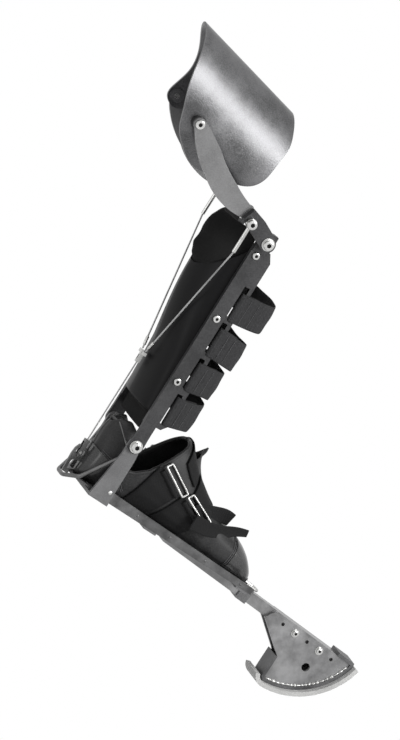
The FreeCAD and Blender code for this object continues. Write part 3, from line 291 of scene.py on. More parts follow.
def revolved(name, profile, centre, axis, sides):
    """A surface of revolution from (radius, height) rows about an axis: c + h n + r (a cos v + b sin v)."""
    n = unit(np.asarray(axis, dtype=float))
    a = unit(np.cross(n, (0.0, 0.0, 1.0) if abs(n[2]) < 0.9 else (1.0, 0.0, 0.0)))
    radius, height = profile.T[..., None, None]
    v = np.linspace(0, 2 * math.pi, sides, endpoint=False)[None, :, None]
    points = centre + height * n + radius * (a * np.cos(v) + np.cross(n, a) * np.sin(v))
    return mesh_object(name, points, grid_faces(len(profile), sides, False, True).tolist())


def join(name, objects):
    """One object from several, keeping their materials."""
    bpy.ops.object.select_all(action="DESELECT")
    for obj in objects:
        obj.select_set(True)
    bpy.context.view_layer.objects.active = objects[0]
    if len(objects) > 1:
        bpy.ops.object.join()
    objects[0].name = name
    objects[0].data.name = name
    return objects[0]


# Node groups and materials

FLOAT, VECTOR = "NodeSocketFloat", "NodeSocketVector"


def new_group(name, scale, scale_kind, mask):
    """A shader node group that turns a vector and a scale into a height and a mask, with its two ends."""
    group = bpy.data.node_groups.new(name, "ShaderNodeTree")
    for label, kind in (("Vector", VECTOR), (scale, scale_kind)):
        group.interface.new_socket(name=label, in_out="INPUT", socket_type=kind)
    for label in ("Height", mask):
        group.interface.new_socket(name=label, in_out="OUTPUT", socket_type=FLOAT)
    return group, group.nodes.new("NodeGroupInput"), group.nodes.new("NodeGroupOutput")


def add(tree, kind, **settings):
    """A node with its settings; keys that name an input set that input's value."""
    node = tree.nodes.new(kind)
    for key, value in settings.items():
        if hasattr(node, key) and key not in node.inputs:
            setattr(node, key, value)
        else:
            node.inputs[key].default_value = value
    return node


def wire(tree, *links):
    """Links rows of a node, its output, another node and that one's input."""
    for source, output, target, entry in links:
        tree.links.new(source.outputs[output], target.inputs[entry])


def mask_range(tree, source, low, high, to_low=0.0, to_high=1.0):
    """Stretches a mask from one range to another."""
    node = add(tree, "ShaderNodeMapRange", **{"From Min": low, "From Max": high, "To Min": to_low, "To Max": to_high})
    tree.links.new(source, node.inputs["Value"])
    return node.outputs["Result"]


def grain_group():
    """Fine moulded grain: small noise gives a height, and its sum with cloudy wear gives a speckled mask."""
    group, start, end = new_group("BraceGrain", "Size", FLOAT, "Cloud")
    fine = add(group, "ShaderNodeTexNoise", Detail=4.0, Roughness=0.6)
    cloud = add(group, "ShaderNodeTexNoise", Scale=22.0, Detail=5.0, Roughness=0.55)
    both = add(group, "ShaderNodeMath", operation="ADD")
    wire(
        group, (start, "Vector", fine, "Vector"), (start, "Size", fine, "Scale"), (start, "Vector", cloud, "Vector"),
        (fine, "Fac", end, "Height"), (fine, "Fac", both, 0), (cloud, "Fac", both, 1))
    group.links.new(mask_range(group, both.outputs[0], 0.78, 1.22), end.inputs["Cloud"])
    return group


def weave_group():
    """Woven webbing from the piece's own UV: ribs across and along, as a height, and a fuzz mask."""
    group, start, end = new_group("BraceWeave", "Pitch", FLOAT, "Fuzz")
    split = add(group, "ShaderNodeSeparateXYZ")
    product = add(group, "ShaderNodeMath", operation="MULTIPLY")
    for entry, axis in enumerate("XY"):
        scaled = add(group, "ShaderNodeMath", operation="MULTIPLY")
        wave = add(group, "ShaderNodeMath", operation="SINE")
        wire(
            group, (split, axis, scaled, 0), (start, "Pitch", scaled, 1), (scaled, 0, wave, 0),
            (wave, 0, product, entry))
    fuzz = add(group, "ShaderNodeTexNoise", Scale=330.0, Detail=6.0, Roughness=0.8)
    total = add(group, "ShaderNodeMath", operation="ADD")
    wire(
        group, (start, "Vector", split, "Vector"), (start, "Vector", fuzz, "Vector"), (product, 0, total, 0),
        (fuzz, "Fac", total, 1), (total, 0, end, "Height"), (fuzz, "Fac", end, "Fuzz"))
    return group


def brushed_group():
    """Drawn metal: noise stretched along one direction, with broad stains."""
    group, start, end = new_group("BraceBrushed", "Stretch", VECTOR, "Stain")
    stretched = add(group, "ShaderNodeVectorMath", operation="MULTIPLY")
    lines = add(group, "ShaderNodeTexNoise", Scale=1.0, Detail=5.0, Roughness=0.65)
    stain = add(group, "ShaderNodeTexNoise", Scale=34.0, Detail=6.0, Roughness=0.6)
    wire(
        group, (start, "Vector", stretched, 0), (start, "Stretch", stretched, 1), (stretched, 0, lines, "Vector"),
        (start, "Vector", stain, "Vector"), (lines, "Fac", end, "Height"))
    group.links.new(mask_range(group, stain.outputs["Fac"], 0.38, 0.68), end.inputs["Stain"])
    return group


GROUPS = {}
MATERIALS = {}
ROUGHNESS_SWING = 0.06
# input of each group that takes the scale, and output that gives the mask
DETAILS = {"grain": ("Size", "Cloud"), "weave": ("Pitch", "Fuzz"), "brushed": ("Stretch", "Stain")}
# colour (its setting or linear grey), roughness, metallic, scale of the detail, bump, spread of the tones,
# and where they differ from a grained surface: kind of detail, depth of the bump in metres, specular level
FINISHES = {
    "cuff_grained": ("cuff", 0.38, 0.9, 620.0, 0.5, 0.38),
    "shell_black": ("shell", 0.42, 0.0, 1400.0, 0.08, 0.3, "grain", 0.0004, 0.12),
    "liner_knit": ((0.019, 0.019, 0.019), 0.92, 0.0, 3400.0, 0.6, 0.25, "weave", 0.0005, 0.1),
    "webbing": ("webbing", 0.9, 0.0, 2300.0, 0.7, 0.6, "weave", 0.0006, 0.15),
    "plate_dark": ("plates", 0.42, 0.4, 420.0, 0.12, 0.25, "grain", 0.0004, 0.25),
    "bar_grey": ((0.156, 0.156, 0.1573), 0.38, 0.45, 600.0, 0.10, 0.15),
    "stirrup_grey": ((0.138, 0.138, 0.1403), 0.40, 0.45, 600.0, 0.12, 0.2),
    "zinc": ((0.58, 0.58, 0.57), 0.24, 1.0, 900.0, 0.05, 0.12),
    "bronze": ((0.42, 0.36, 0.24), 0.35, 1.0, 900.0, 0.05, 0.1),
    "steel_bright": ((0.5, 0.5, 0.49), 0.26, 1.0, (60.0, 60.0, 900.0), 0.06, 0.15, "brushed"),
    "rope_steel": ((0.36, 0.36, 0.36), 0.38, 1.0, 1500.0, 0.1, 0.3),
    "boot_leather": ("boot", 0.5, 0.0, 520.0, 0.45, 0.5, "grain", 0.0004, 0.25),
    "boot_gloss": ((0.046, 0.046, 0.0465), 0.25, 0.0, 500.0, 0.1, 0.3, "grain", 0.0004, 0.4),
    "bar_raw": ((0.23, 0.23, 0.232), 0.34, 0.9, (40.0, 700.0, 700.0), 0.14, 0.2, "brushed"),
    "rocker_raw": ((0.21, 0.21, 0.212), 0.42, 0.8, (300.0, 300.0, 300.0), 0.16, 0.3, "brushed"),
    "base_dark": ((0.10, 0.10, 0.102), 0.5, 0.7, (200.0, 200.0, 200.0), 0.2, 0.35, "brushed"),
    "weld_bead": ((0.5, 0.5, 0.49), 0.35, 0.9, 400.0, 0.3, 0.3),
    "webbing_smooth": ((0.008, 0.008, 0.0083), 0.75, 0.0, 1800.0, 0.35, 0.5, "weave", 0.0004, 0.2),
    # near-black finish of the discs painted as the shade inside the bolts' hex sockets
    "socket_dark": ((0.01, 0.01, 0.01), 0.8, 0.0, 900.0, 0.05, 0.1, "grain", 0.0004, 0.1),
    "thread": ((0.078, 0.078, 0.0806), 0.7, 0.0, 900.0, 0.1, 0.2),
    # pale finish of the heel piping, a painted highlight along the heel's fold
    "piping_pale": ((0.2, 0.2, 0.2), 0.45, 0.0, 900.0, 0.1, 0.3),
    "bail_steel": ((0.13, 0.13, 0.13), 0.36, 0.9, 900.0, 0.1, 0.3),
    "rail_grey": ((0.102, 0.102, 0.1032), 0.42, 0.6, (60.0, 60.0, 900.0), 0.12, 0.4, "brushed"),
    # dark coat of the cuff pivot bosses, painted as the shadow round the pivot bolts
    "plate_dark_2": ((0.036, 0.036, 0.0372), 0.5, 0.2, 700.0, 0.1, 0.2),
    "tread_rubber": ((0.45, 0.45, 0.4437), 0.8, 0.0, 500.0, 0.4, 0.14),
}


def surface_material(
        name, colour, roughness, metallic, scale, bump, spread, detail="grain", depth=0.0004, specular=0.5):
    """A Principled material whose tone, roughness and bump vary with one group: grain, weave or brushed."""
    scale_input, mask = DETAILS[detail]
    mat = bpy.data.materials.new(name)
    mat.use_nodes = True
    tree = mat.node_tree
    shader = tree.nodes["Principled BSDF"]
    for entry, value in (("Metallic", metallic), ("Roughness", roughness), ("Specular IOR Level", specular)):
        shader.inputs[entry].default_value = value
    group = tree.nodes.new("ShaderNodeGroup")
    group.node_tree = GROUPS[detail]
    group.inputs[scale_input].default_value = scale
    coords = tree.nodes.new("ShaderNodeTexCoord")
    mix = add(tree, "ShaderNodeMix", data_type="RGBA")
    if isinstance(colour, str):
        colour = getattr(settings_of("colours"), colour)
    for entry, tone in ((6, 1 - spread), (7, 1 + spread)):
        mix.inputs[entry].default_value = [min(1.0, c * tone) for c in colour] + [1.0]
    bumps = add(tree, "ShaderNodeBump", Strength=bump, Distance=depth)
    wire(
        tree, (coords, "UV" if detail == "weave" else "Object", group, "Vector"), (group, mask, mix, 0),
        (mix, 2, shader, "Base Color"), (group, "Height", bumps, "Height"), (bumps, "Normal", shader, "Normal"))
    smoothest, roughest = max(0.05, roughness - ROUGHNESS_SWING), min(1.0, roughness + ROUGHNESS_SWING)
    rough = mask_range(tree, group.outputs[mask], 0.0, 1.0, smoothest, roughest)
    tree.links.new(rough, shader.inputs["Roughness"])
    MATERIALS[name] = mat


def build_materials():
    """Every material of the brace. Most colours are grey, as the photograph is black and white."""
    GROUPS.update(grain=grain_group(), weave=weave_group(), brushed=brushed_group())
    for name, row in FINISHES.items():
        surface_material(name, *row)


NODE_MATERIALS = {
    "plate_dark": "upright_near upright_far knee_head_near knee_head_far strap_plate_near strap_plate_far "
                  "lever_near lever_far",
    "bar_grey": "thigh_bar_near thigh_bar_far",
    "stirrup_grey": "stirrup rail_ties foot_plate toe_clamp",
    "zinc": "upright_bolts upright_nuts knee_pivot_bolts knee_pivot_washers knee_pivot_nuts ankle_pivot_bolts "
            "ankle_pivot_washers ankle_pivot_nuts tendon_pins cuff_pivot_bolts rocker_bolts rocker_nuts heel_pin",
    "bronze": "knee_bushes ankle_bushes",
    # the cuff pivot bosses are painted dark as the shade round the pivot bolts
    "plate_dark_2": "cuff_pivot_bosses",
    "steel_bright": "rod_end_near rod_end_far turnbuckle toe_loop",
    "bail_steel": "heel_bail heel_clevis heel_web",
    "rope_steel": "tendon_cable_near tendon_cable_far tendon_rope",
    "cuff_grained": "thigh_cuff",
    "shell_black": "calf_shell",
    "liner_knit": "calf_liner",
    "webbing": "shin_strap_1 shin_strap_2 shin_strap_3 shin_strap_4 instep_strap_1 instep_strap_2",
    "boot_leather": "boot",
    "bar_raw": "extension_bar",
    "rail_grey": "foot_rail_near foot_rail_far",
    "rocker_raw": "rocker_plate_near rocker_plate_far",
    "base_dark": "rocker_base",
    "tread_rubber": "rocker_tread",
}


def paint_nodes():
    """Gives every CAD node that stays in view its procedural material."""
    for name, nodes in NODE_MATERIALS.items():
        for node in nodes.split():
            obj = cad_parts.get(node)
            if obj is None:
                continue
            if not obj.data.materials:
                obj.data.materials.append(MATERIALS[name])
            for number in range(len(obj.data.materials)):
                obj.data.materials[number] = MATERIALS[name]


def dressed(obj, material, body):
    """Gives a new piece its one material and lets it move with a body."""
    obj.data.materials.clear()
    obj.data.materials.append(MATERIALS[material])
    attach(obj, body)


def soft_edges(obj, width):
    """A small bevel along the sharp rims of a piece."""
    bevel = obj.modifiers.new("rim", "BEVEL")
    bevel.width = width * MM
    bevel.segments = 2
    bevel.limit_method = "ANGLE"
    bevel.angle_limit = math.radians(50)


def along_line(line, x):
    """Height at x of a line of (place, height) corners."""
    return np.interp(x, *np.transpose(line))


def signed_power(value, power):
    """The power of a value's size, with the value's sign."""
    return np.sign(value) * np.abs(value) ** power


# Calf shell, sleeve and shin straps

# depth behind the shin line at the shell's top, where its taper starts and at its lower edge, in mm
SHELL_DEPTH, MID_DEPTH, LOW_DEPTH = 54.0, 36.0, 28.0
TAPER_START = -210.0
# how far the shell's front edges reach past the shin line, and where its round back starts and at what share of a row
SHELL_FRONT = 8.0
LIP_DEPTH, LIP_SHARE = 6.0, 0.09
# top line of the shell: place behind the shin line and height
SCOOP = ((-90.0, -93.0), (-52.0, -84.0), (-28.0, -52.0), (-12.0, -30.0), (-2.0, -13.5), (9.0, -12.5))
# the sleeve: heights where it follows the shell, then height and depth above the shell, then height and front edge
SLEEVE_HEIGHTS = (-300.0, -248.7, -201.3, -154.0, -106.7)
SLEEVE_DEPTHS = (
    (-90.0, 48.5), (-83.0, 52.0), (-74.0, 59.5), (-60.0, 64.5), (-36.0, 66.0), (-14.0, 62.0), (-4.0, 57.5),
    (1.0, 54.0),
)
SLEEVE_FRONTS = ((-320.0, 17.0), (-34.0, 17.0), (-20.0, 3.0), (-6.0, -13.0), (1.0, -16.0))
SLEEVE_GAP, SLEEVE_SIDE_GAP = 2.0, 6.6
# plane of the slotted plates
STRAP_PLANE = 60.0
# what each strap adds to the reach of the first, and how far its front rises above its slots' middle, in mm
STRAP_FRONTS = ((-2.0, 3.0), (-9.0, -7.0), (-15.0, 3.0), (-16.0, 8.0))


def shell_depth(z):
    """Reach of the calf shell behind the shin line at height z: a quarter sine, with a straight taper below it."""
    bottom = -settings_of("shin").shell_bottom
    rise = np.sin(np.clip((z - TAPER_START) / 130.0, 0.0, 1.0) * math.pi / 2)
    upper = MID_DEPTH + (SHELL_DEPTH - MID_DEPTH) * rise
    lower = LOW_DEPTH + (MID_DEPTH - LOW_DEPTH) * (z - bottom) / (TAPER_START - bottom)
    return np.where(z > TAPER_START, upper, lower)


def leg_section(columns, front, wide, deep):
    """One open section from the near lip round the back to the far lip; column 0..1 runs the whole way.

    The back is x = -lip - (deep - lip) sin a, y = -wide |cos a|^1.4 with the sign of cos a.
    """
    angle = np.clip((columns - LIP_SHARE) / (1 - 2 * LIP_SHARE), 0.0, 1.0) * math.pi
    reach = np.maximum(np.clip(1 - columns / LIP_SHARE, 0, 1), np.clip((columns - 1 + LIP_SHARE) / LIP_SHARE, 0, 1))
    x = -LIP_DEPTH - (deep - LIP_DEPTH) * np.sin(angle) + (front + LIP_DEPTH) * reach
    return x, -wide * signed_power(np.cos(angle), 1.4)


def make_calf_shell():
    """The calf shell: sections from the lower edge up to a scooped top line that depends on how far back they are."""
    sizes = settings_of("shin")
    columns = np.linspace(0.0, 1.0, 97)
    rows = np.linspace(0.0, 1.0, 61)[:, None]
    top = along_line(SCOOP, leg_section(columns, SHELL_FRONT, sizes.half_width, SHELL_DEPTH)[0])
    bottom = -sizes.shell_bottom + 3.0 * np.sin(columns * math.pi) ** 2
    z = bottom + rows * (top - bottom)
    swell = 0.35 * np.sin(z / 38.0) * np.sin(columns * math.pi * 3)
    grids = []
    for inset in (0.0, sizes.shell_wall):
        x, y = leg_section(columns + 0 * z, SHELL_FRONT, sizes.half_width - inset, shell_depth(z) - inset + swell)
        grids.append(shin(np.stack([x, y, z], axis=-1)))
    obj = slab("calf_shell_moulded", *grids)
    soft_edges(obj, 0.7)
    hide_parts("calf_shell")
    dressed(obj, "shell_black", "shin_frame")


def make_calf_sleeve():
    """The knitted sleeve: a leg section whose depth swells above the shell, with creases that fade down the back."""
    sizes = settings_of("shin")
    u, z = np.meshgrid(np.linspace(0.0, 1.0, 121), np.linspace(-325.0, 1.0, 174))
    above, swollen = np.transpose(SLEEVE_DEPTHS)
    heights = np.concatenate([SLEEVE_HEIGHTS, above])
    depths = np.concatenate([shell_depth(np.array(SLEEVE_HEIGHTS)) - sizes.shell_wall - SLEEVE_GAP, swollen])
    deep = np.interp(z, heights, depths) - 15.0 * np.clip((-295.0 - z) / 7.0, 0.0, 1.0)
    back = np.sin(u * math.pi)
    crease = 1.5 * np.sin(z / 7.5 + 2.2 * np.sin(u * 9.0)) * np.exp(-((z + 30.0) / 34.0) ** 2) * back
    crease += 0.6 * np.sin(z / 4.6 + 3.0 * u) * np.exp(-((z + 62.0) / 16.0) ** 2) * back
    crease *= np.clip((z + 84.0) / 20.0, 0.0, 1.0)
    roll = -1.8 * np.clip((z + 4.0) / 5.0, 0.0, 1.0) ** 2
    wide = sizes.half_width - sizes.shell_wall - SLEEVE_SIDE_GAP
    grids = []
    for inset, folds in ((0.0, crease), (sizes.sleeve_wall, 0.0)):
        x, y = leg_section(u, along_line(SLEEVE_FRONTS, z), wide - inset, deep + folds + roll - inset)
        grids.append(shin(np.stack([x, y, z], axis=-1)))
    obj = slab("calf_sleeve_knit", *grids)
    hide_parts("calf_liner")
    dressed(obj, "liner_knit", "shin_frame")


def strap_route(reach, half):
    """Top view of one shin strap in (x, y): a folded tail, through the slot, round the web and across the shin."""
    inner, outer = half - 3.9, half + 1.9
    side = [
        (47.0, -(half - 2.6)), (38.0, -(half - 3.4)), (26.0, -inner), (19.2, -(inner + 0.4)), (16.9, -(half - 1.2)),
        (19.2, -(outer - 0.4)), (26.0, -outer), (38.0, -(outer - 0.4)), (reach - 17.0, -(half - 1.2)),
        (reach - 8.0, -(half - 4.5)), (reach - 3.0, -(half - 12.0)), (reach - 0.6, -(half - 34.0)),
    ]
    row = side + [(reach, 0.0)] + [(x, -y) for x, y in reversed(side)]
    return spline(np.array([(x, y, 0.0) for x, y in row]), 150)


def make_shin_strap(number):
    """One webbing strap along its route, a little bowed and with fluffed edges, and its stitch rows."""
    sizes = settings_of("shin")
    centre = -(sizes.strap_first + sizes.strap_pitch * number)
    ahead, rise = STRAP_FRONTS[number]
    reach = sizes.strap_reach + ahead
    route = strap_route(reach, STRAP_PLANE)
    along = np.linspace(0.0, 1.0, len(route))
    forward = np.clip((route[:, 0] - 26.0) / (reach - 26.0), 0.0, 1.0)
    sag = (rise + 1.1 * np.sin(along * math.pi * 2 + number) + 0.9 * np.sin(along * 17.0 + 2 * number)) * forward
    path = route + np.stack([0 * along, 0 * along, centre + sag], axis=-1)
    tangent = unit(np.gradient(path, axis=0) * (1.0, 1.0, 0.0))
    out = np.stack([tangent[:, 1], -tangent[:, 0], 0 * along], axis=-1)
    across = np.linspace(-1.0, 1.0, 25)
    half = sizes.strap_width / 2 * (1 + 0.012 * np.sin(along * 31.0 + number))
    bow = 1.1 * np.cos(across * math.pi / 2) * np.sin(along * math.pi)[:, None] ** 2
    bow += 0.35 * np.sin(across * 5.0 + number) * np.sin(along * 23.0)[:, None]
    thick = sizes.strap_thickness / 2 * (0.45 + 0.55 * np.sqrt(1 - np.abs(across) ** 8))
    front, back = band_grids(path, np.array([0.0, 0.0, 1.0]), out, half[:, None] * across, bow, thick)
    obj = slab(f"shin_webbing_{number + 1}", shin(front), shin(back))
    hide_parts(f"shin_strap_{number + 1}")
    dressed(obj, "webbing", "shin_frame")
    make_stitches(number, path, out, sizes.strap_width / 2)


def make_stitches(number, path, out, half):
    """Thread rows across each strap where its tail is sewn down: short arched beads along straight rows."""
    beads = []
    t = np.linspace(-1.0, 1.0, 5)
    for place in (33, 39, len(path) - 40, len(path) - 34):
        top = path[place] + out[place] * 2.3
        for z in np.linspace(-0.8, 0.8, 15) * half:
            arc = top + np.stack([0 * t, 0 * t, z + 1.05 * t], axis=-1) + out[place] * (0.35 * (1 - t**2))[:, None]
            beads.append(tube("bead", shin(arc), 0.32 * MM, 5))
    dressed(join(f"shin_stitching_{number + 1}", beads), "thread", "shin_frame")


# Boot

# ends of the boot along the sole, height of its sole, rear edge of the toe cap, and length over which growth spreads
BOOT_HEEL, BOOT_TOE, SOLE_Z = -28.0, 285.5, -87.6
TOE_CAP = 232.0
BOOT_SPAN = 317.0
# radii of the sewn lines, the piping and the rolled collar
SEAM_RADIUS, PIPING_RADIUS, ROLL_RADIUS = 0.55, 0.9, 3.1
BOOT_ROWS = [
    # along the sole, half width, top
    (-28.0, 0.6, 6.0), (-27.2, 7.0, 10.0), (-25.0, 15.0, 14.0), (-19.0, 25.0, 19.0), (-6.0, 33.0, 24.0),
    (20.0, 37.0, 28.0), (55.0, 38.0, 36.0), (80.0, 38.5, 42.0), (92.0, 38.5, 41.0), (101.0, 39.0, 32.0),
    (112.0, 39.5, 21.0), (125.0, 40.0, 9.5), (138.0, 40.5, 0.0), (174.0, 43.0, -21.5), (215.0, 44.5, -34.5),
    (238.0, 42.5, -40.5), (256.0, 38.0, -50.0), (268.0, 31.5, -60.0), (277.5, 22.0, -69.5), (283.0, 12.0, -77.0),
    (285.5, 0.8, -82.5),
]
# upper line of the boot and of its heel cup: place along the sole and height
COLLAR = [
    (-28.0, 4.0), (-19.0, 16.0), (-8.0, 19.0), (1.0, 13.0), (9.0, -10.0), (16.0, -34.0), (23.0, -42.0), (34.0, -38.0),
    (51.0, -24.0), (65.0, -1.0), (78.0, 22.0), (88.0, 39.0), (94.0, 60.0), (300.0, 60.0),
]
CUP_LINE = [(-28.0, -38.0), (0.0, -44.0), (34.0, -70.0), (40.0, -74.0)]


def on_boot(obj, material="boot_leather"):
    dressed(obj, material, "foot_frame")


def boot_size(x):
    """Half width and top of the boot at x, along smooth curves through its rows."""
    place, half, top = spline(np.array(BOOT_ROWS), 400).T
    return np.interp(x, place, half), np.interp(x, place, top)


def turn_at(x, z, grow=0.0):
    """Angle from the top at which the boot's section at x passes through height z."""
    _, top = boot_size(x)
    share = np.clip(2 * (z - SOLE_Z) / (top + grow - SOLE_Z) - 1, -1.0, 1.0)
    return np.arccos(signed_power(share, 1.25))


def boot_point(x, turn, grow=0.0):
    """Boot surface at x and an angle from the top, with a padded heel.

    y = -half |sin t|^0.75, z = sole + height (1 + |cos t|^0.8) / 2, with the signs of sine and cosine.
    """
    half, top = boot_size(x)
    low = SOLE_Z - np.minimum(grow, 0.0)
    y = -(half + grow) * signed_power(np.sin(turn), 0.75)
    z = low + (top + grow - low) * (0.5 + 0.5 * signed_power(np.cos(turn), 0.8))
    rear = np.clip((4.0 - x) / 32.0, 0.0, 1.0) ** 1.5
    shifted = x - settings_of("boot").heel_bulge * np.exp(-((z + 13.0) / 19.0) ** 2) * rear
    ends = grow * (2 * (x - BOOT_HEEL) / BOOT_SPAN - 1)
    return np.stack([shifted + ends, y, z], axis=-1)


def boot_sheet(name, x_rows, low_turn, high_turn, grow, wall, columns=81, ripple=None):
    """A closed sheet on the boot's surface between two angles at each x, grown outwards by grow."""
    share = np.linspace(0.0, 1.0, columns)[None, :]
    turn = low_turn[:, None] + (high_turn - low_turn)[:, None] * share
    x = x_rows[:, None] + 0 * turn
    lift = grow + (ripple(x, turn) if ripple else 0.0)
    return slab(name, sole(boot_point(x, turn, lift)), sole(boot_point(x, turn, grow - wall)))


def boot_wrap(name, x_rows, start, grow, wall, columns=81, ripple=None):
    """A boot sheet from an angle on one side, over the sole, to the same angle on the other side."""
    return boot_sheet(name, x_rows, start, 2 * math.pi - start, grow, wall, columns, ripple)


def boot_creases(x, turn):
    """Leather creases across the vamp and round the ankle: waves that die away from the flexing lines."""
    vamp = 0.9 * np.sin(x / 5.2 + 1.3 * np.sin(turn * 2)) * np.exp(-((x - 182.0) / 26.0) ** 2)
    ankle = 0.35 * np.sin(x / 6.5 + 2.0 * np.cos(turn)) * np.exp(-((x - 96.0) / 20.0) ** 2)
    slack = 0.3 * np.sin(x / 19.0) * np.sin(turn * 3) * np.clip(x / 40.0, 0.0, 1.0)
    return (vamp + ankle + slack) * np.clip(np.sin(np.clip(turn, 0, 2 * math.pi) / 2), 0.2, 1.0)


def make_boot():
    """Upper with a cut-down collar, heel cup, toe cap, welt, rolled collar edge, tongue and seams."""
    wall = settings_of("boot").wall
    runs = ((BOOT_HEEL, 0.0, 30), (2.5, 262.0, 120), (264.0, BOOT_TOE, 26))
    x = np.concatenate([np.linspace(*run) for run in runs])
    upper = boot_wrap("boot_upper", x, turn_at(x, along_line(COLLAR, x)), 0.0, wall, 97, boot_creases)
    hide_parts("boot")
    on_boot(upper)
    x = np.linspace(BOOT_HEEL, 34.0, 44)
    on_boot(boot_wrap("boot_heel_cup", x, turn_at(x, along_line(CUP_LINE, x)), 1.5, 1.4), "boot_gloss")
    x = np.linspace(TOE_CAP, BOOT_TOE, 46)
    on_boot(boot_wrap("boot_toe_cap", x, 0 * x, 1.1, 1.0), "boot_gloss")
    x = np.linspace(BOOT_HEEL, BOOT_TOE, 150)
    on_boot(boot_wrap("boot_welt", x, turn_at(x, 0 * x - 80.0), 2.0, 1.9, 61))
    x = np.linspace(-24.0, 90.0, 90)
    near = boot_point(x, turn_at(x, along_line(COLLAR, x)), -wall / 2)
    loop = np.concatenate([near, near[::-1] * (1.0, -1.0, 1.0)])
    on_boot(tube("boot_collar_roll", sole(loop), ROLL_RADIUS * MM, 12, True))
    make_tongue()
    make_seams()


def make_tongue():
    """The tongue: a padded flap that rises from the instep and flares forward, peaked at its middle."""
    rise = np.array([(146.0, -3.0), (133.0, 9.0), (123.0, 22.0), (118.0, 35.0), (120.5, 47.5)])
    x_line, z_line = spline(rise, 40).T[..., None]
    t = np.linspace(0.0, 1.0, 40)[:, None]
    across = np.linspace(-1.0, 1.0, 41)
    x = x_line - 11.0 * across**2 * (0.6 + 0.4 * t)
    y = (25.0 - 11.0 * t**1.5) * across
    z = z_line - (4.0 + 20.0 * t**2) * np.abs(across) ** 1.1 + 1.2 * np.sin(across * 6 + 5 * t) * t
    pad = 1.3 * (1 - across**4) * (1 - 0.6 * t) + 0.6
    grid = np.stack([x, y, z], axis=-1)
    on_boot(slab("boot_tongue", sole(offset_grid(grid, pad)), sole(offset_grid(grid, -pad))))


def make_seams():
    """Raised sewn lines along the heel cup and the toe cap, and a raised piping up each side of the heel, painted
    pale as a highlight.
    """
    seams, highlight_pipings = [], []
    for side in (1.0, -1.0):
        x = np.linspace(-20.0, 38.0, 60)
        for lift in (1.2, 4.4):
            turn = turn_at(x, along_line(CUP_LINE, x) + lift) * side
            seams.append(tube("seam", sole(boot_point(x, turn, 0.5)), SEAM_RADIUS * MM, 6))
        t = np.linspace(0.25, 2.3, 60) * side
        for gap in (2.0, 5.0):
            seams.append(tube("seam", sole(boot_point(TOE_CAP - gap + 0 * t, t, 0.5)), SEAM_RADIUS * MM, 6))
        x = np.linspace(-21.0, 2.0, 50)
        turn = turn_at(x, np.interp(x, [-21.0, 2.0], [10.0, -12.0])) * side
        highlight_pipings.append(tube("piping", sole(boot_point(x, turn, 0.4)), PIPING_RADIUS * MM, 8))
    on_boot(join("boot_seams", seams), "thread")
    # the piping is painted pale as the highlight up each side of the heel
    on_boot(join("boot_heel_piping", highlight_pipings), "piping_pale")


# Instep straps

STRAP_QUADS = (
    # rear top, front top, front low, rear low, in the sole's side view
    ((59.0, -8.0), (106.0, -34.0), (88.0, -79.0), (46.0, -79.0)),
    ((113.0, -29.0), (159.0, -50.0), (144.0, -80.0), (95.0, -79.0)),
)
# start, end, rows and half angle of the band over the instep
OVER_BANDS = ((94.0, 122.0, 20, 1.05), (128.0, 168.0, 26, 1.25))
# how far the side panels and the wire frames stand off the boot
PANEL_LIFT, WIRE_LIFT = 1.6, 7.4
TAILS = (
    # middle line, half width at the boot and at the loose end
    ([(144.0, -46.0, -38.0), (160.0, -39.0, -31.0), (176.0, -31.0, -24.5), (190.0, -26.0, -21.0),
      (205.0, -23.0, -20.5)], 14.0, 10.5),
    ([(142.0, -62.0, -46.5), (170.0, -50.0, -46.0), (195.0, -39.0, -39.0), (216.0, -32.0, -30.5),
      (236.5, -27.0, -23.5)], 12.0, 5.5),
)


def strap_panel(quad, side):
    """A strap end on the boot's side: a bilinear patch of the side view, laid on the boot's surface."""
    wall = settings_of("boot").strap_thickness
    u = np.linspace(0.0, 1.0, 31)[None, :, None]
    v = np.linspace(0.0, 1.0, 37)[:, None, None]
    a, b, c, d = np.array(quad)
    x, z = np.moveaxis((1 - v) * ((1 - u) * a + u * b) + v * ((1 - u) * d + u * c), -1, 0)
    u, v = u[..., 0], v[..., 0]
    edge = np.minimum(np.minimum(u, 1 - u) * 10, 1.0)
    puff = 0.7 * np.sin(u * math.pi) + 0.3 * np.sin(v * 21.0 + u * 3)
    y = (boot_size(x)[0] + PANEL_LIFT) * np.sin(turn_at(x, z, PANEL_LIFT)) ** 0.75
    front = np.stack([x, side * (y + wall * edge ** 0.5 * 0.5 + puff * edge + wall / 2), z], axis=-1)
    back = np.stack([x, side * y, z], axis=-1)
    if side > 0:
        front, back = front[:, ::-1], back[:, ::-1]
    return slab("panel", sole(front), sole(back))


def bar_ends(quad, side):
    """Both ends of the wire bar along a strap panel's upper edge, a little off the boot."""
    (ax, az), (bx, bz) = quad[:2]
    x = np.array([ax + 7.5, bx + 6.5])
    z = np.array([az + 5.5, bz + 7.0])
    y = side * ((boot_size(x)[0] + WIRE_LIFT) * np.sin(turn_at(x, z, 7.0)) ** 0.75)
    return np.stack([x, y, z], axis=-1)


def fold_over(quad, side):
    """The strap's end rolled round its wire bar: a round tube along the bar whose radius ripples a little."""
    ends = bar_ends(quad, side)
    t = np.linspace(0.06, 0.94, 24)[:, None]
    path = ends[0] * (1 - t) + ends[1] * t + np.array([-4.4, -side, -6.6])
    return tube("fold", sole(path), (3.4 + 0.25 * np.sin(t[:, 0] * 19.0)) * MM, 14)


def over_band(number):
    """The band over the instep: boot surface between both frames, grown by the strap's thickness."""
    start, end, rows, limit = OVER_BANDS[number - 1]
    x_rows = np.linspace(start, end, rows)
    turn = 0 * x_rows + limit
    return boot_sheet("band", x_rows, -turn, turn, 4.4, 2.8, 49)


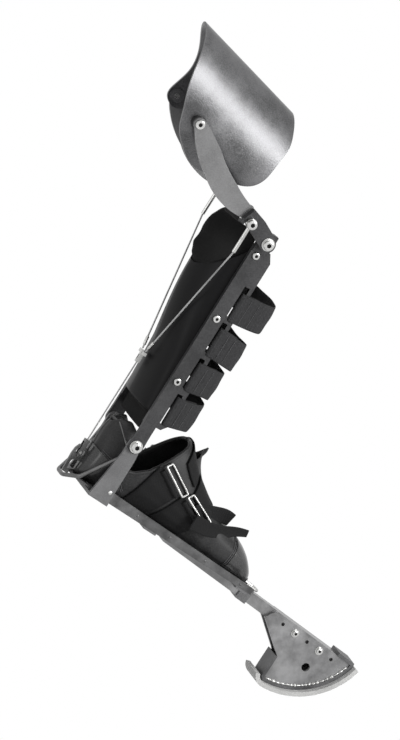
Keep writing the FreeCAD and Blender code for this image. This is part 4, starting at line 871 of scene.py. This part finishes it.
def wire_frame(quad, side):
    """A wire rectangle with round corners that joins a strap panel to the band over the instep."""
    rear, front = bar_ends(quad, side)
    reach = np.array([6.5, -side * 4.5, 7.5])
    corners = [rear, front, front + reach, rear + reach]
    points = [
        here * (1 - share) + after * share
        for here, after in zip(corners, corners[1:] + corners[:1]) for share in (0.07, 0.5, 0.93)
    ]
    return tube("wire", sole(spline(np.array(points), 120, True)), settings_of("boot").wire_radius * MM, 12, True)


def make_instep_straps():
    """Two instep straps: a panel on each side, folded over a wire frame, and a band over the instep."""
    for number, quad in enumerate(STRAP_QUADS, 1):
        pieces = [build(quad, side) for side, _ in SIDES for build in (strap_panel, fold_over)]
        obj = join(f"instep_webbing_{number}", pieces + [over_band(number)])
        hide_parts(f"instep_strap_{number}")
        dressed(obj, "webbing_smooth", "foot_frame")
        frames = [wire_frame(quad, side) for side, _ in SIDES]
        dressed(join(f"instep_wire_frames_{number}", frames), "steel_bright", "foot_frame")
    make_strap_tails()


def make_strap_tails():
    """Loose strap ends that stick out over the toe: bands that taper and curl a little."""
    t = np.linspace(0.0, 1.0, 60)
    across = np.linspace(-1.0, 1.0, 17)
    thick = 1.3 * (0.5 + 0.5 * np.sqrt(1 - np.abs(across) ** 6))
    for word, (points, wide, narrow) in zip("ab", TAILS):
        path = spline(np.array(points), 60)
        path[:, 2] += 0.8 * np.sin(t * 9.0)
        tangent = np.gradient(path, axis=0)
        way = unit(np.stack([-tangent[:, 2], 0 * t + 0.15 * np.sin(t * 5), tangent[:, 0]], axis=-1))
        out = unit(np.cross(tangent, way))
        half = wide + (narrow - wide) * t**1.5
        cup = 1.2 * across**2 * np.sin(t * 3)[:, None]
        front, back = band_grids(path, way[:, None], out, half[:, None] * across, cup, thick)
        obj = slab(f"strap_tail_{word}", sole(front), sole(back))
        dressed(obj, "webbing_smooth", "foot_frame")


# Tendon ropes

# lever and its lead, the rod ends' plane and length, the yoke and the heel pin, in mm and degrees
LEVER, LEVER_LEAD = 43.0, 8.5
ROD_PLANE, ROD_LENGTH = 83.9, 48.0
YOKE_DROP, YOKE_HALF = 248.0, 8.0
BUCKLE_LENGTH, CLEVIS_LENGTH = 19.0, 21.0
ROPE_RADIUS, LOWER_RADIUS = 1.3, 1.1
HEEL_PIN = (-37.5, 0.0, -59.0)
# radius and height of a crimped sleeve
SLEEVE_PROFILE = ((1.35, 0.0), (2.3, 0.4), (2.3, 5.0), (2.0, 6.0), (2.3, 7.0), (2.3, 13.0), (1.35, 13.6))


def tendon_line():
    """Middle of the lever pins, heel pin and the way down between them, in the row frame and in millimetres."""
    lead = math.radians(LEVER_LEAD)
    top = thigh((-LEVER * math.sin(lead), 0.0, LEVER * math.cos(lead))) / MM
    heel = sole(HEEL_PIN) / MM
    return top, heel, unit(heel - top)


def sideways(y):
    return np.array([0.0, y, 0.0])


def twisted_rope(name, start, end, radius, pitch=8.5):
    """A wire rope: six strands at angle 2 pi (s / pitch + k / 6) round a straight line, with a core."""
    length = float(np.linalg.norm(end - start))
    s = np.linspace(0.0, 1.0, max(int(length / pitch * 10), 12))
    line = start + (end - start) * s[:, None]
    a, b = path_frames(line)
    strand = radius * 0.36
    pieces = [tube("core", line * MM, strand * 1.2 * MM, 6)]
    for k in range(6):
        turn = 2 * math.pi * (s * length / pitch + k / 6)[:, None]
        path = line + (radius - strand) * (a * np.cos(turn) + b * np.sin(turn))
        pieces.append(tube("strand", path * MM, strand * MM, 6))
    return join(name, pieces)


def make_ropes():
    """Both upper wire ropes and the lower one, with crimped sleeves at the upper ones' lower ends."""
    top, heel, down = tendon_line()
    yoke = top + down * YOKE_DROP
    for side, word in SIDES:
        start = top + sideways(side * ROD_PLANE) + down * ROD_LENGTH
        target = yoke + sideways(side * YOKE_HALF)
        along = unit(target - start)
        obj = twisted_rope(f"wire_rope_{word}", start + along * 0.5, target - along * 1.5, ROPE_RADIUS)
        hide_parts(f"tendon_cable_{word}")
        dressed(obj, "rope_steel", "tendon")
        place = (target - along * 20.0) * MM
        sleeve = revolved(f"rope_sleeve_{word}", np.array(SLEEVE_PROFILE) * MM, place, along, 20)
        dressed(sleeve, "steel_bright", "tendon")
    low, end = yoke + down * BUCKLE_LENGTH, heel - down * CLEVIS_LENGTH
    obj = twisted_rope("wire_rope_lower", low, end, LOWER_RADIUS, 7.0)
    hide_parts("tendon_rope")
    dressed(obj, "rope_steel", "tendon")


# Rocker welds, rivets, rod ends and painted shade in the bolt sockets

# centre of the rocker's arc, radius of the weld along it and plane of the rocker's plates, in the bar's frame
ROCKER_X, ROCKER_Z = 394.0, -59.0
WELD_RADIUS, WELD_PLANE = 104.4, 15.6
# rivets in the sole's side view and their planes; the rails' middle falls from the first height to the second
STIRRUP_RIVET, STIRRUP_PLANE = (12.0, -76.0), 59.7
RAIL_RIVETS, RAIL_PLANE = (70.0, 130.0, 196.0, 262.0), 54.8
RAIL_MIDDLE = ((14.0, -82.8), (284.0, -86.2))
# share of a bolt head's width that its socket's painted shade disc takes, and the disc's depth as a share of the
# head's height
SOCKET_SHARE, SOCKET_DEPTH = 0.475, 0.35


def make_welds():
    """Weld beads where the side plates meet the strap: a tube along the arc whose radius ripples bead by bead."""
    a = np.radians(np.linspace(-83.0, -12.0, 620))
    ripple = np.abs(np.sin(a * 51.0 + 1.5 * np.sin(a * 7.0))) ** 0.6
    patches = 0.35 + 0.65 * np.clip((np.sin(a * 23.0) + np.sin(a * 37.0 + 1.0)) * 0.8 + 0.5, 0.0, 1.0)
    reach = WELD_RADIUS - 0.3 * ripple
    for side, word in SIDES:
        path = [ROCKER_X + reach * np.cos(a), side * WELD_PLANE + 0 * a, ROCKER_Z + reach * np.sin(a)]
        bead = tube(f"weld_{word}", bar(np.stack(path, axis=-1)), (0.7 + 2.1 * ripple * patches) * MM, 10)
        dressed(bead, "weld_bead", "foot_frame")


def dome(place, axis, radius, height):
    """A rivet head: a shallow dome of revolution."""
    t = np.linspace(0.0, math.pi / 2, 8)
    profile = np.stack([radius * np.cos(t), height * np.sin(t)], axis=-1)
    profile = np.concatenate([[(radius * 0.98, -0.4)], profile[:-1], [(0.02, height)]])
    return revolved("dome", profile * MM, place, axis, 20)


def make_rivets():
    """Rivet heads on the stirrup and along both rails."""
    heads, rail_heads = [], []
    for side, _ in SIDES:
        axis = (0.0, side, 0.0)
        x, z = STIRRUP_RIVET
        heads.append(dome(sole((x, side * STIRRUP_PLANE, z)), axis, 3.2, 1.6))
        for x in RAIL_RIVETS:
            rail_heads.append(dome(sole((x, side * RAIL_PLANE, along_line(RAIL_MIDDLE, x))), axis, 2.0, 0.9))
    dressed(join("rivet_heads", heads), "zinc", "foot_frame")
    dressed(join("rail_rivet_heads", rail_heads), "rail_grey", "foot_frame")


def make_rod_lips():
    """The raised lips round the rod ends' eyes: rings of revolution about the lever pin."""
    top, _, _ = tendon_line()
    t = np.linspace(0.0, 2 * math.pi, 17)
    profile = np.stack([6.7 + 0.55 * np.cos(t), 3.0 + 0.5 * np.sin(t)], axis=-1)
    profile[-1] = profile[0]
    rings = []
    for side, _ in SIDES:
        rings.append(revolved("lip", profile * MM, (top + sideways(side * ROD_PLANE)) * MM, (0.0, side, 0.0), 36))
    dressed(join("rod_end_lips", rings), "steel_bright", "tendon")


def make_socket_shade():
    """Painted shade in the socket bolts' hexagon recesses: near-black discs just inside each head's outer face."""
    limb = limbs()
    top, _, _ = tendon_line()
    pin = turned(top[0], top[2], -limb.thigh_tilt)
    both = (NEAR, FAR)
    rows = (
        # node, body, limb frame, places in its side view, across the head, height of the head, sides
        ("upright_bolts", "shin_frame", shin, [(0.0, -25.0), (0.0, -131.5), (0.0, -238.0)], 5.4, 3.6, both),
        ("knee_pivot_bolts", "shin_frame", shin, [(0.0, 0.0)], 7.6, 5.5, both),
        ("ankle_pivot_bolts", "shin_frame", shin, [(0.0, -limb.shin_length)], 7.6, 5.5, both),
        ("tendon_pins", "thigh_link", thigh, [pin], 7.4, 5.0, both),
        ("cuff_pivot_bolts", "thigh_link", thigh, [(0.0, 210.0)], 7.0, 3.5, both),
        ("rocker_bolts", "foot_frame", bar, [(399.3, -85.8), (445.9, -85.8)], 4.6, 3.4, (NEAR,)),
    )
    turn = np.arange(6) * math.pi / 3
    for node, body, place, spots, head, height, sides in rows:
        low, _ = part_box(node)
        depth = -float(low[1]) / MM - SOCKET_DEPTH * height
        reach = head * SOCKET_SHARE
        discs = []
        for x, z in spots:
            for side in sides:
                rim = [x + reach * np.cos(turn), side * depth + 0 * turn, z + reach * np.sin(turn)]
                points = place(np.stack(rim, axis=-1))
                discs.append(mesh_object("disc", points if side < 0 else points[::-1], [range(6)], smooth=False))
        dressed(join(f"{node}_sockets", discs), "socket_dark", body)


# Stage, light and camera

# middle of the picture in metres, direction to the camera, its distance and what its height takes in
CENTRE = np.array([-0.091, -0.048, -0.192])
TO_CAMERA = np.array([-0.2435, -0.9077, 0.3420])
CAMERA_DISTANCE, VIEW_HEIGHT, SENSOR_HEIGHT = 40.0, 1.051, 24.0
FLOOR_REACH = 60.0


def seen_rays(tree):
    """1 for rays of the camera and for what mirrors or clear surfaces show, 0 for light that falls on the object."""
    path = tree.nodes.new("ShaderNodeLightPath")
    seen = path.outputs["Is Camera Ray"]
    for ray in ("Is Glossy Ray", "Is Transmission Ray"):
        both = add(tree, "ShaderNodeMath", operation="MAXIMUM")
        tree.links.new(seen, both.inputs[0])
        tree.links.new(path.outputs[ray], both.inputs[1])
        seen = both.outputs[0]
    return seen


def seen_white(mat, diffuse):
    """Shows a stage surface plain white to the camera and lets it light the object as a pale surface."""
    tree = mat.node_tree
    white = tree.nodes.new("ShaderNodeEmission")
    mix = tree.nodes.new("ShaderNodeMixShader")
    tree.links.new(seen_rays(tree), mix.inputs[0])
    wire(tree, (diffuse, 0, mix, 1), (white, 0, mix, 2), (mix, 0, tree.nodes["Material Output"], "Surface"))


def make_stage(floor_z):
    """A pale floor below the brace and a white room that lights it softly."""
    corners = [(x * FLOOR_REACH, y * FLOOR_REACH, floor_z) for x, y in ((-1, -1), (1, -1), (1, 1), (-1, 1))]
    floor = mesh_object("floor", corners, [(0, 1, 2, 3)], smooth=False)
    mat = bpy.data.materials.new("floor_pale")
    mat.use_nodes = True
    shader = mat.node_tree.nodes["Principled BSDF"]
    shader.inputs["Base Color"].default_value = (0.85, 0.85, 0.85, 1.0)
    shader.inputs["Roughness"].default_value = 0.9
    seen_white(mat, shader)
    floor.data.materials.append(mat)
    floor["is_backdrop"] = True
    world = bpy.data.worlds.new("white_room")
    bpy.context.scene.world = world
    world.use_nodes = True
    tree = world.node_tree
    background = tree.nodes["Background"]
    background.inputs["Color"].default_value = (1.0, 1.0, 1.0, 1.0)
    strength = tree.nodes.new("ShaderNodeMapRange")
    strength.inputs["To Min"].default_value = settings_of("lights").room
    strength.inputs["To Max"].default_value = 1.0
    tree.links.new(seen_rays(tree), strength.inputs["Value"])
    tree.links.new(strength.outputs["Result"], background.inputs["Strength"])


def looking(name, data, place, way):
    """A lamp or camera at a place that looks along a direction."""
    obj = bpy.data.objects.new(name, data)
    obj.location = place
    obj.rotation_euler = way.to_track_quat("-Z", "Y").to_euler()
    bpy.context.scene.collection.objects.link(obj)
    return obj


def add_light(name, place, target, size, power):
    """A soft rectangular light that looks at a point."""
    data = bpy.data.lights.new(name, "AREA")
    data.shape = "RECTANGLE"
    data.size, data.size_y = size
    data.energy = power
    looking(name, data, place, Vector(target) - Vector(place))


def make_lights():
    """The key lamp before the outer side, one lamp above and one behind the heel side."""
    power = settings_of("lights")
    add_light("key_light", (1.75, -2.5, 0.2), (-0.02, 0.0, 0.0), (1.15, 1.15), power.key)
    add_light("top_light", (0.3, -0.3, 2.6), (-0.05, 0.0, -0.2), (1.6, 1.0), power.top)
    add_light("rim_light", (-2.4, -0.9, 0.9), (-0.05, 0.0, -0.1), (0.6, 1.4), power.rim)


def make_camera():
    """A far camera with a long lens, because the photograph shows almost no perspective."""
    data = bpy.data.cameras.new("camera")
    data.sensor_fit = "VERTICAL"
    data.sensor_height = SENSOR_HEIGHT
    data.lens = SENSOR_HEIGHT * CAMERA_DISTANCE / VIEW_HEIGHT
    data.clip_end = 200.0
    way = TO_CAMERA / np.linalg.norm(TO_CAMERA)
    place = Vector((CENTRE + way * CAMERA_DISTANCE).tolist())
    bpy.context.scene.camera = looking("camera", data, place, Vector((-way).tolist()))
    bpy.context.scene.view_settings.view_transform = "Standard"


# Operators, panel and registration

class BRACE_OT_finishes(bpy.types.Operator):
    """Builds the finishes and gives the frame's own parts theirs"""
    bl_idname = "brace.finishes"
    bl_label = "Finishes"

    def execute(self, context):
        build_materials()
        paint_nodes()
        return {"FINISHED"}


class BRACE_OT_shell(bpy.types.Operator):
    """Builds the moulded calf shell and the knitted sleeve inside it"""
    bl_idname = "brace.shell"
    bl_label = "Calf shell and sleeve"

    def execute(self, context):
        make_calf_shell()
        make_calf_sleeve()
        return {"FINISHED"}


class BRACE_OT_shin_straps(bpy.types.Operator):
    """Builds the four webbing straps over the shin"""
    bl_idname = "brace.shin_straps"
    bl_label = "Shin straps"

    def execute(self, context):
        for number in range(4):
            make_shin_strap(number)
        return {"FINISHED"}


class BRACE_OT_boot(bpy.types.Operator):
    """Builds the boot with its cup, cap, welt, collar and tongue"""
    bl_idname = "brace.boot"
    bl_label = "Boot"

    def execute(self, context):
        make_boot()
        return {"FINISHED"}


class BRACE_OT_instep_straps(bpy.types.Operator):
    """Builds the instep straps, their wire frames and the loose ends"""
    bl_idname = "brace.instep_straps"
    bl_label = "Instep straps"

    def execute(self, context):
        make_instep_straps()
        return {"FINISHED"}


class BRACE_OT_ropes(bpy.types.Operator):
    """Builds the twisted wire ropes of the tendon and the rod ends' lips"""
    bl_idname = "brace.ropes"
    bl_label = "Tendon ropes"

    def execute(self, context):
        make_ropes()
        make_rod_lips()
        return {"FINISHED"}


class BRACE_OT_metalwork(bpy.types.Operator):
    """Builds the rocker's weld beads, the rivet heads and the painted shade discs in the bolts' sockets"""
    bl_idname = "brace.metalwork"
    bl_label = "Welds, rivets and sockets"

    def execute(self, context):
        make_welds()
        make_rivets()
        make_socket_shade()
        return {"FINISHED"}


class BRACE_OT_stage(bpy.types.Operator):
    """Sets up the floor, the room light, the lamps and the camera"""
    bl_idname = "brace.stage"
    bl_label = "Stage"

    def execute(self, context):
        low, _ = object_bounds()
        make_stage(float(low[2]) - 0.0005)
        make_lights()
        make_camera()
        return {"FINISHED"}


OPERATORS = (
    BRACE_OT_finishes, BRACE_OT_shell, BRACE_OT_shin_straps, BRACE_OT_boot, BRACE_OT_instep_straps, BRACE_OT_ropes,
    BRACE_OT_metalwork, BRACE_OT_stage,
)


class BRACE_PT_panel(bpy.types.Panel):
    """The brace's settings and its build steps in order"""
    bl_idname = "BRACE_PT_panel"
    bl_label = "Leg extension brace"
    bl_space_type = "VIEW_3D"
    bl_region_type = "UI"
    bl_category = "Brace"

    def draw(self, context):
        column = self.layout.column(align=True)
        for settings in SETTINGS:
            group = getattr(context.scene, settings)
            for name in group.bl_rna.properties.keys():
                if name not in ("rna_type", "name"):
                    column.prop(group, name)
        for operator in OPERATORS:
            column.operator(operator.bl_idname)


SETTINGS = {
    "brace_limbs": BraceLimbSettings, "brace_shin": BraceShinSettings, "brace_boot": BraceBootSettings,
    "brace_colours": BraceColourSettings, "brace_lights": BraceLightSettings,
}
CLASSES = (*SETTINGS.values(), *OPERATORS, BRACE_PT_panel)


def register():
    for cls in CLASSES:
        bpy.utils.register_class(cls)
    for name, cls in SETTINGS.items():
        setattr(bpy.types.Scene, name, PointerProperty(type=cls))


def unregister():
    for name in SETTINGS:
        delattr(bpy.types.Scene, name)
    for cls in reversed(CLASSES):
        bpy.utils.unregister_class(cls)


def main():
    """Runs every build step in order."""
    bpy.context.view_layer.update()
    register()
    bpy.ops.brace.finishes()
    bpy.ops.brace.shell()
    bpy.ops.brace.shin_straps()
    bpy.ops.brace.boot()
    bpy.ops.brace.instep_straps()
    bpy.ops.brace.ropes()
    bpy.ops.brace.metalwork()
    bpy.ops.brace.stage()


if __name__ == "__main__":
    main()
